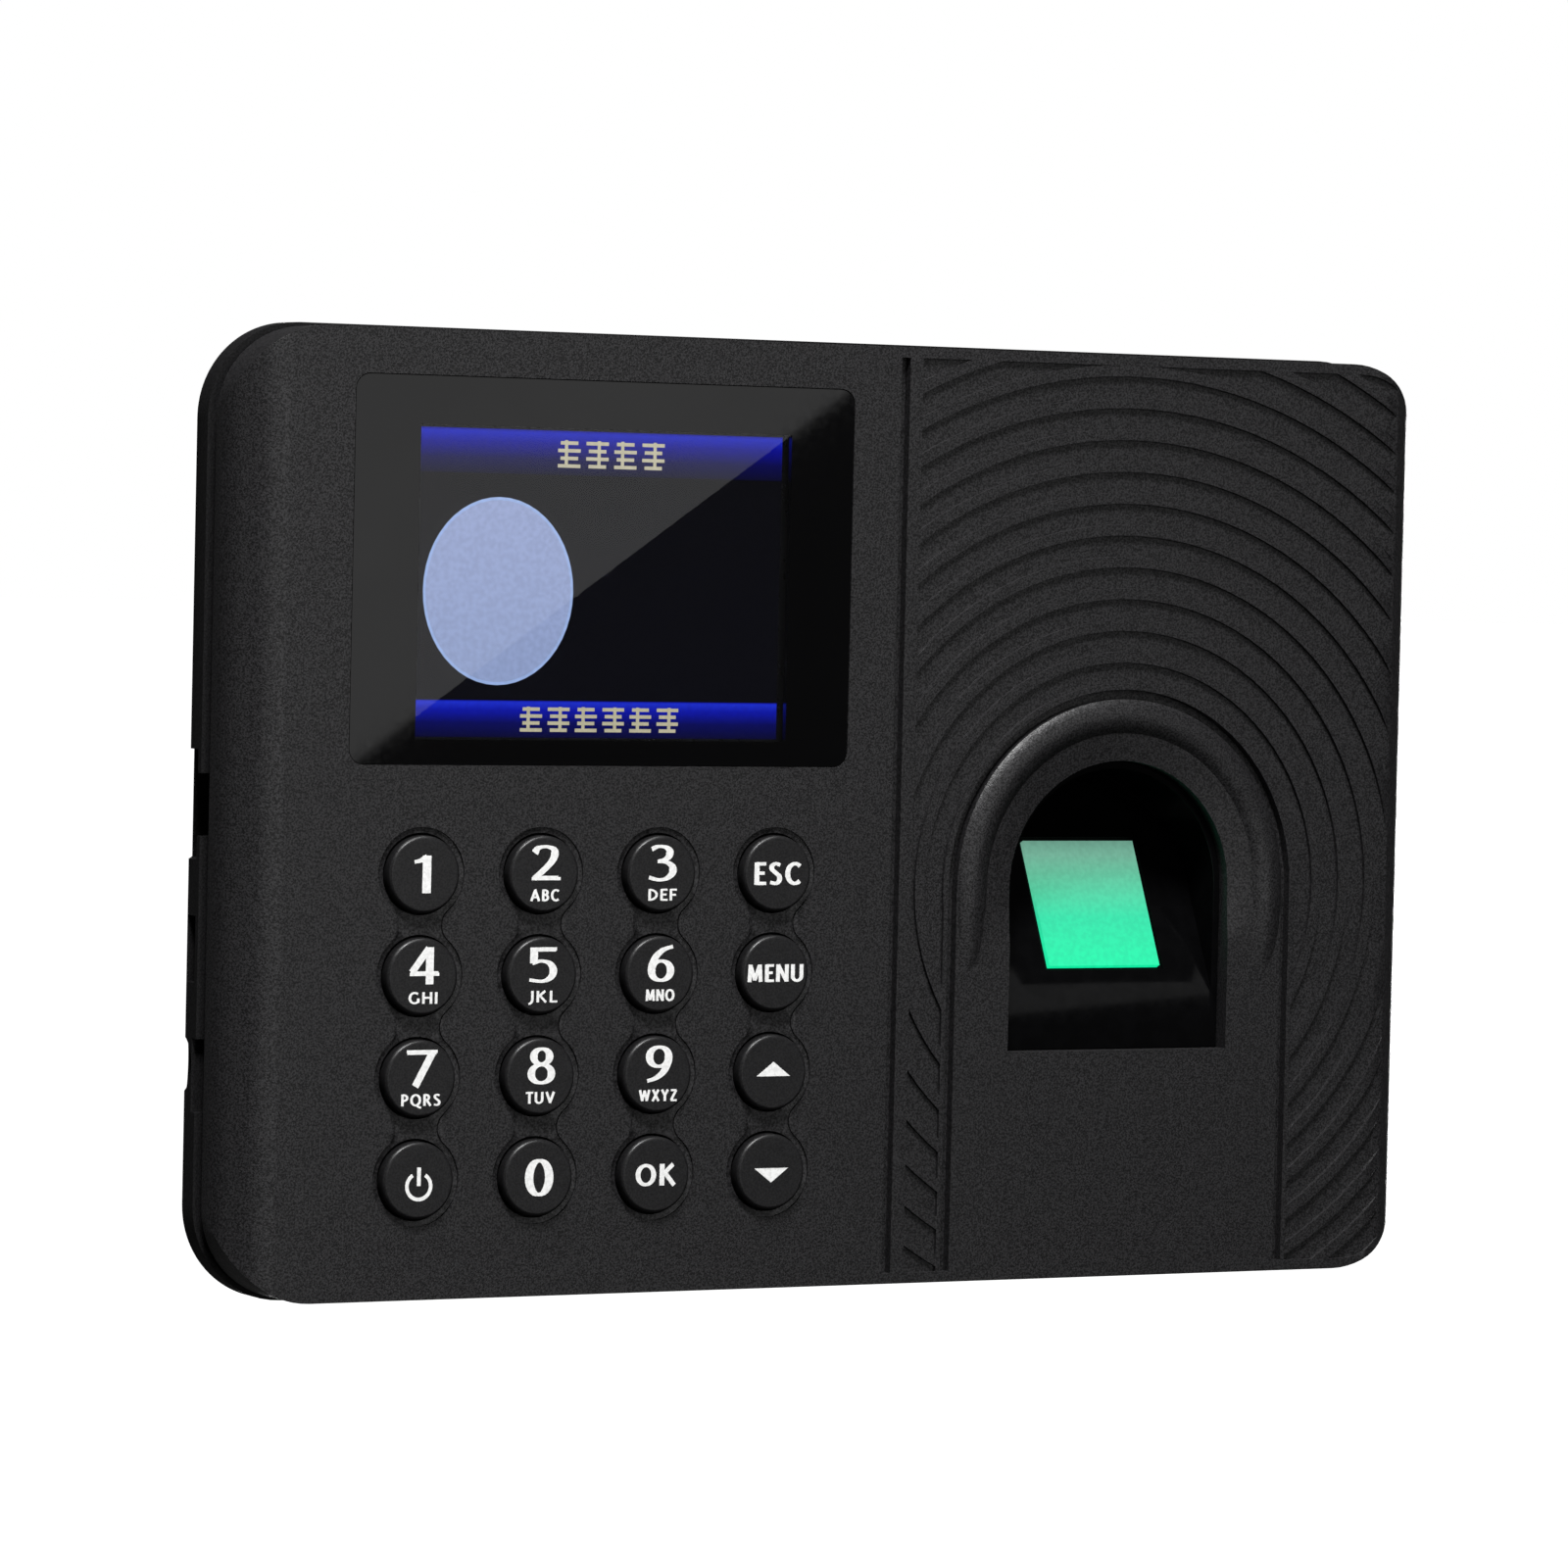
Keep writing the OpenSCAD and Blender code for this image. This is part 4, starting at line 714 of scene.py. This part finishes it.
def picture():
    """The picture on the panel: two blue bars, a pale oval and blocks on a dark ground."""
    plate("picture_ground", [box_2d(picture_left, picture_low, PICTURE_WIDTH, PICTURE_HEIGHT)], 0,
          [(0, (0.0006, 0.0006, 0.003)), (1, (0.0004, 0.0004, 0.0018))], picture_low, picture_top)
    plate("picture_top_bar", [box_2d(picture_left, picture_top - TOP_BAR, PICTURE_WIDTH, TOP_BAR)], 1,
          [(0, (0.0006, 0.0006, 0.02)), (0.35, (0.001, 0.001, 0.08)), (0.7, (0.002, 0.003, 0.3)),
           (0.93, (0.008, 0.02, 0.55)), (1, (0.002, 0.004, 0.3))], picture_top - TOP_BAR, picture_top)
    plate("picture_low_bar", [box_2d(picture_left, picture_low, PICTURE_WIDTH, LOW_BAR)], 1,
          [(0, (0.0006, 0.0006, 0.03)), (0.4, (0.001, 0.002, 0.11)), (0.75, (0.003, 0.008, 0.42)),
           (0.95, (0.012, 0.03, 0.65)), (1, (0.003, 0.006, 0.4))], picture_low, picture_low + LOW_BAR)
    x, z = picture_left + OVAL_RIGHT, picture_top - OVAL_DROP
    last_turn = 360 - 360 / OVAL_STEPS
    plate("picture_rim", [arc(x, z, *RIM_SIZE, 0, last_turn, OVAL_STEPS - 1)], 1,
          [(0, (0.36, 0.5, 0.86)), (1, (0.4, 0.54, 0.9))], picture_low, picture_top)
    plate("picture_oval", [arc(x, z, *OVAL_SIZE, 0, last_turn, OVAL_STEPS - 1)], 2,
          [(0, (0.32, 0.4, 0.66)), (1, (0.38, 0.45, 0.72))], z - 10, z + 10)
    blocks = word_blocks(TOP_WORDS, picture_top - TOP_WORDS_DROP)
    blocks += word_blocks(LOW_WORDS, picture_low + LOW_WORDS_RISE)
    plate("picture_blocks", blocks, 2,
          [(0, (0.56, 0.52, 0.36)), (1, (0.62, 0.58, 0.42))], picture_low, picture_top)


# ---------------------------------------------------------------- floor and lights


FLOOR_REACH = 30
FLOOR_Z = -0.3


def stage():
    """A pale plain floor, seen only by the camera."""
    mesh = bpy.data.meshes.new("floor")
    corners = [(x * FLOOR_REACH, y * FLOOR_REACH, 0) for x, y in ((-1, -1), (1, -1), (1, 1), (-1, 1))]
    mesh.from_pydata(corners, [], [(0, 1, 2, 3)])
    floor = bpy.data.objects.new("floor", mesh)
    floor.location.z = FLOOR_Z
    pale = bpy.data.materials.new("floor_pale")
    pale.use_nodes = True
    shader = pale.node_tree.nodes["Principled BSDF"]
    shader.inputs["Base Color"].default_value = (0.9, 0.9, 0.9, 1)
    shader.inputs["Roughness"].default_value = 0.9
    shader.inputs["Emission Color"].default_value = (1, 1, 1, 1)
    shader.inputs["Emission Strength"].default_value = 1.0
    mesh.materials.append(pale)
    floor.visible_diffuse = False
    floor.visible_glossy = False
    floor.visible_transmission = False
    floor.visible_shadow = False
    bpy.context.scene.collection.objects.link(floor)


def world():
    """White behind the object for the camera, and close to dark for everything else."""
    sky = bpy.data.worlds.new("world")
    bpy.context.scene.world = sky
    sky.use_nodes = True
    tree = sky.node_tree
    base = tree.nodes["Background"]
    base.inputs["Color"].default_value = (1, 1, 1, 1)
    base.inputs["Strength"].default_value = 0.05
    bright = tree.nodes.new("ShaderNodeBackground")
    bright.inputs["Strength"].default_value = 1.0
    bright.inputs["Color"].default_value = (1, 1, 1, 1)
    path = tree.nodes.new("ShaderNodeLightPath")
    mix = tree.nodes.new("ShaderNodeMixShader")
    tree.links.new(path.outputs["Is Camera Ray"], mix.inputs["Fac"])
    tree.links.new(base.outputs["Background"], mix.inputs[1])
    tree.links.new(bright.outputs["Background"], mix.inputs[2])
    tree.links.new(mix.outputs["Shader"], tree.nodes["World Output"].inputs["Surface"])


LIGHT_TARGET = Vector((0, -0.03, 0))


def light(name, place, size, power):
    """A soft rectangular lamp that faces the object."""
    lamp = bpy.data.lights.new(name, "AREA")
    lamp.shape = "RECTANGLE"
    lamp.size, lamp.size_y = size
    lamp.energy = power
    thing = bpy.data.objects.new(name, lamp)
    thing.location = place
    thing.rotation_euler = (LIGHT_TARGET - Vector(place)).to_track_quat("-Z", "Y").to_euler()
    thing.visible_camera = False
    bpy.context.scene.collection.objects.link(thing)


def card(name, edge_start, edge_end, reach, bright):
    """A lit card in the plane in front, one edge given, whose reflection crosses the glass."""
    run = (edge_end - edge_start).normalized()
    side = Vector((-run.z, 0, run.x)) * reach
    mesh = bpy.data.meshes.new(name)
    mesh.from_pydata([edge_start, edge_end, edge_end + side, edge_start + side], [], [(0, 1, 2, 3)])
    thing = bpy.data.objects.new(name, mesh)
    glow = bpy.data.materials.new(name)
    glow.use_nodes = True
    shader = glow.node_tree.nodes["Principled BSDF"]
    shader.inputs["Base Color"].default_value = (0, 0, 0, 1)
    shader.inputs["Emission Color"].default_value = (1, 1, 1, 1)
    shader.inputs["Emission Strength"].default_value = bright
    mesh.materials.append(glow)
    thing.visible_camera = False
    thing.visible_diffuse = False
    thing.visible_transmission = False
    thing.visible_shadow = False
    bpy.context.scene.collection.objects.link(thing)


# the glare's edge, which crosses the glass from its lower left to its upper right
GLARE_START, GLARE_END = Vector((0.3247, -0.9, -0.0257)), Vector((0.4684, -0.9, 0.0749))
GLARE_PAST_START, GLARE_PAST_END = 0.5, 0.35
GLARE_REACH = 0.55
GLARE_BRIGHTNESS = 0.75


def lights():
    light("top_key", (-0.3, -0.55, 1.0), (0.28, 0.28), 22)
    light("overhead", (0.1, -0.2, 1.3), (0.7, 0.2), 6)
    light("front_soft", (0.0, -1.6, 0.1), (0.22, 1.0), 3)
    light("left_soft", (-1.6, -0.35, 0.2), (0.8, 0.8), 0.7)
    light("back_soft", (0.9, 1.3, -0.15), (0.8, 0.8), 45)
    way = (GLARE_END - GLARE_START).normalized()
    start = GLARE_START - way * GLARE_PAST_START
    card("glare_card", start, GLARE_END + way * GLARE_PAST_END, GLARE_REACH, GLARE_BRIGHTNESS)


make_camera()
finish_nodes()
softened("front_shell", "root", "shell_plastic", FRONT_EDGE)
softened("rear_shell", "root", "rear_plastic", REAR_EDGE)
softened("sensor_housing", "root", "sensor_plastic", SENSOR_EDGE)
shown_keys()
legends()
lens()
picture()
stage()
world()
lights()
bpy.context.scene.view_settings.view_transform = "Standard"
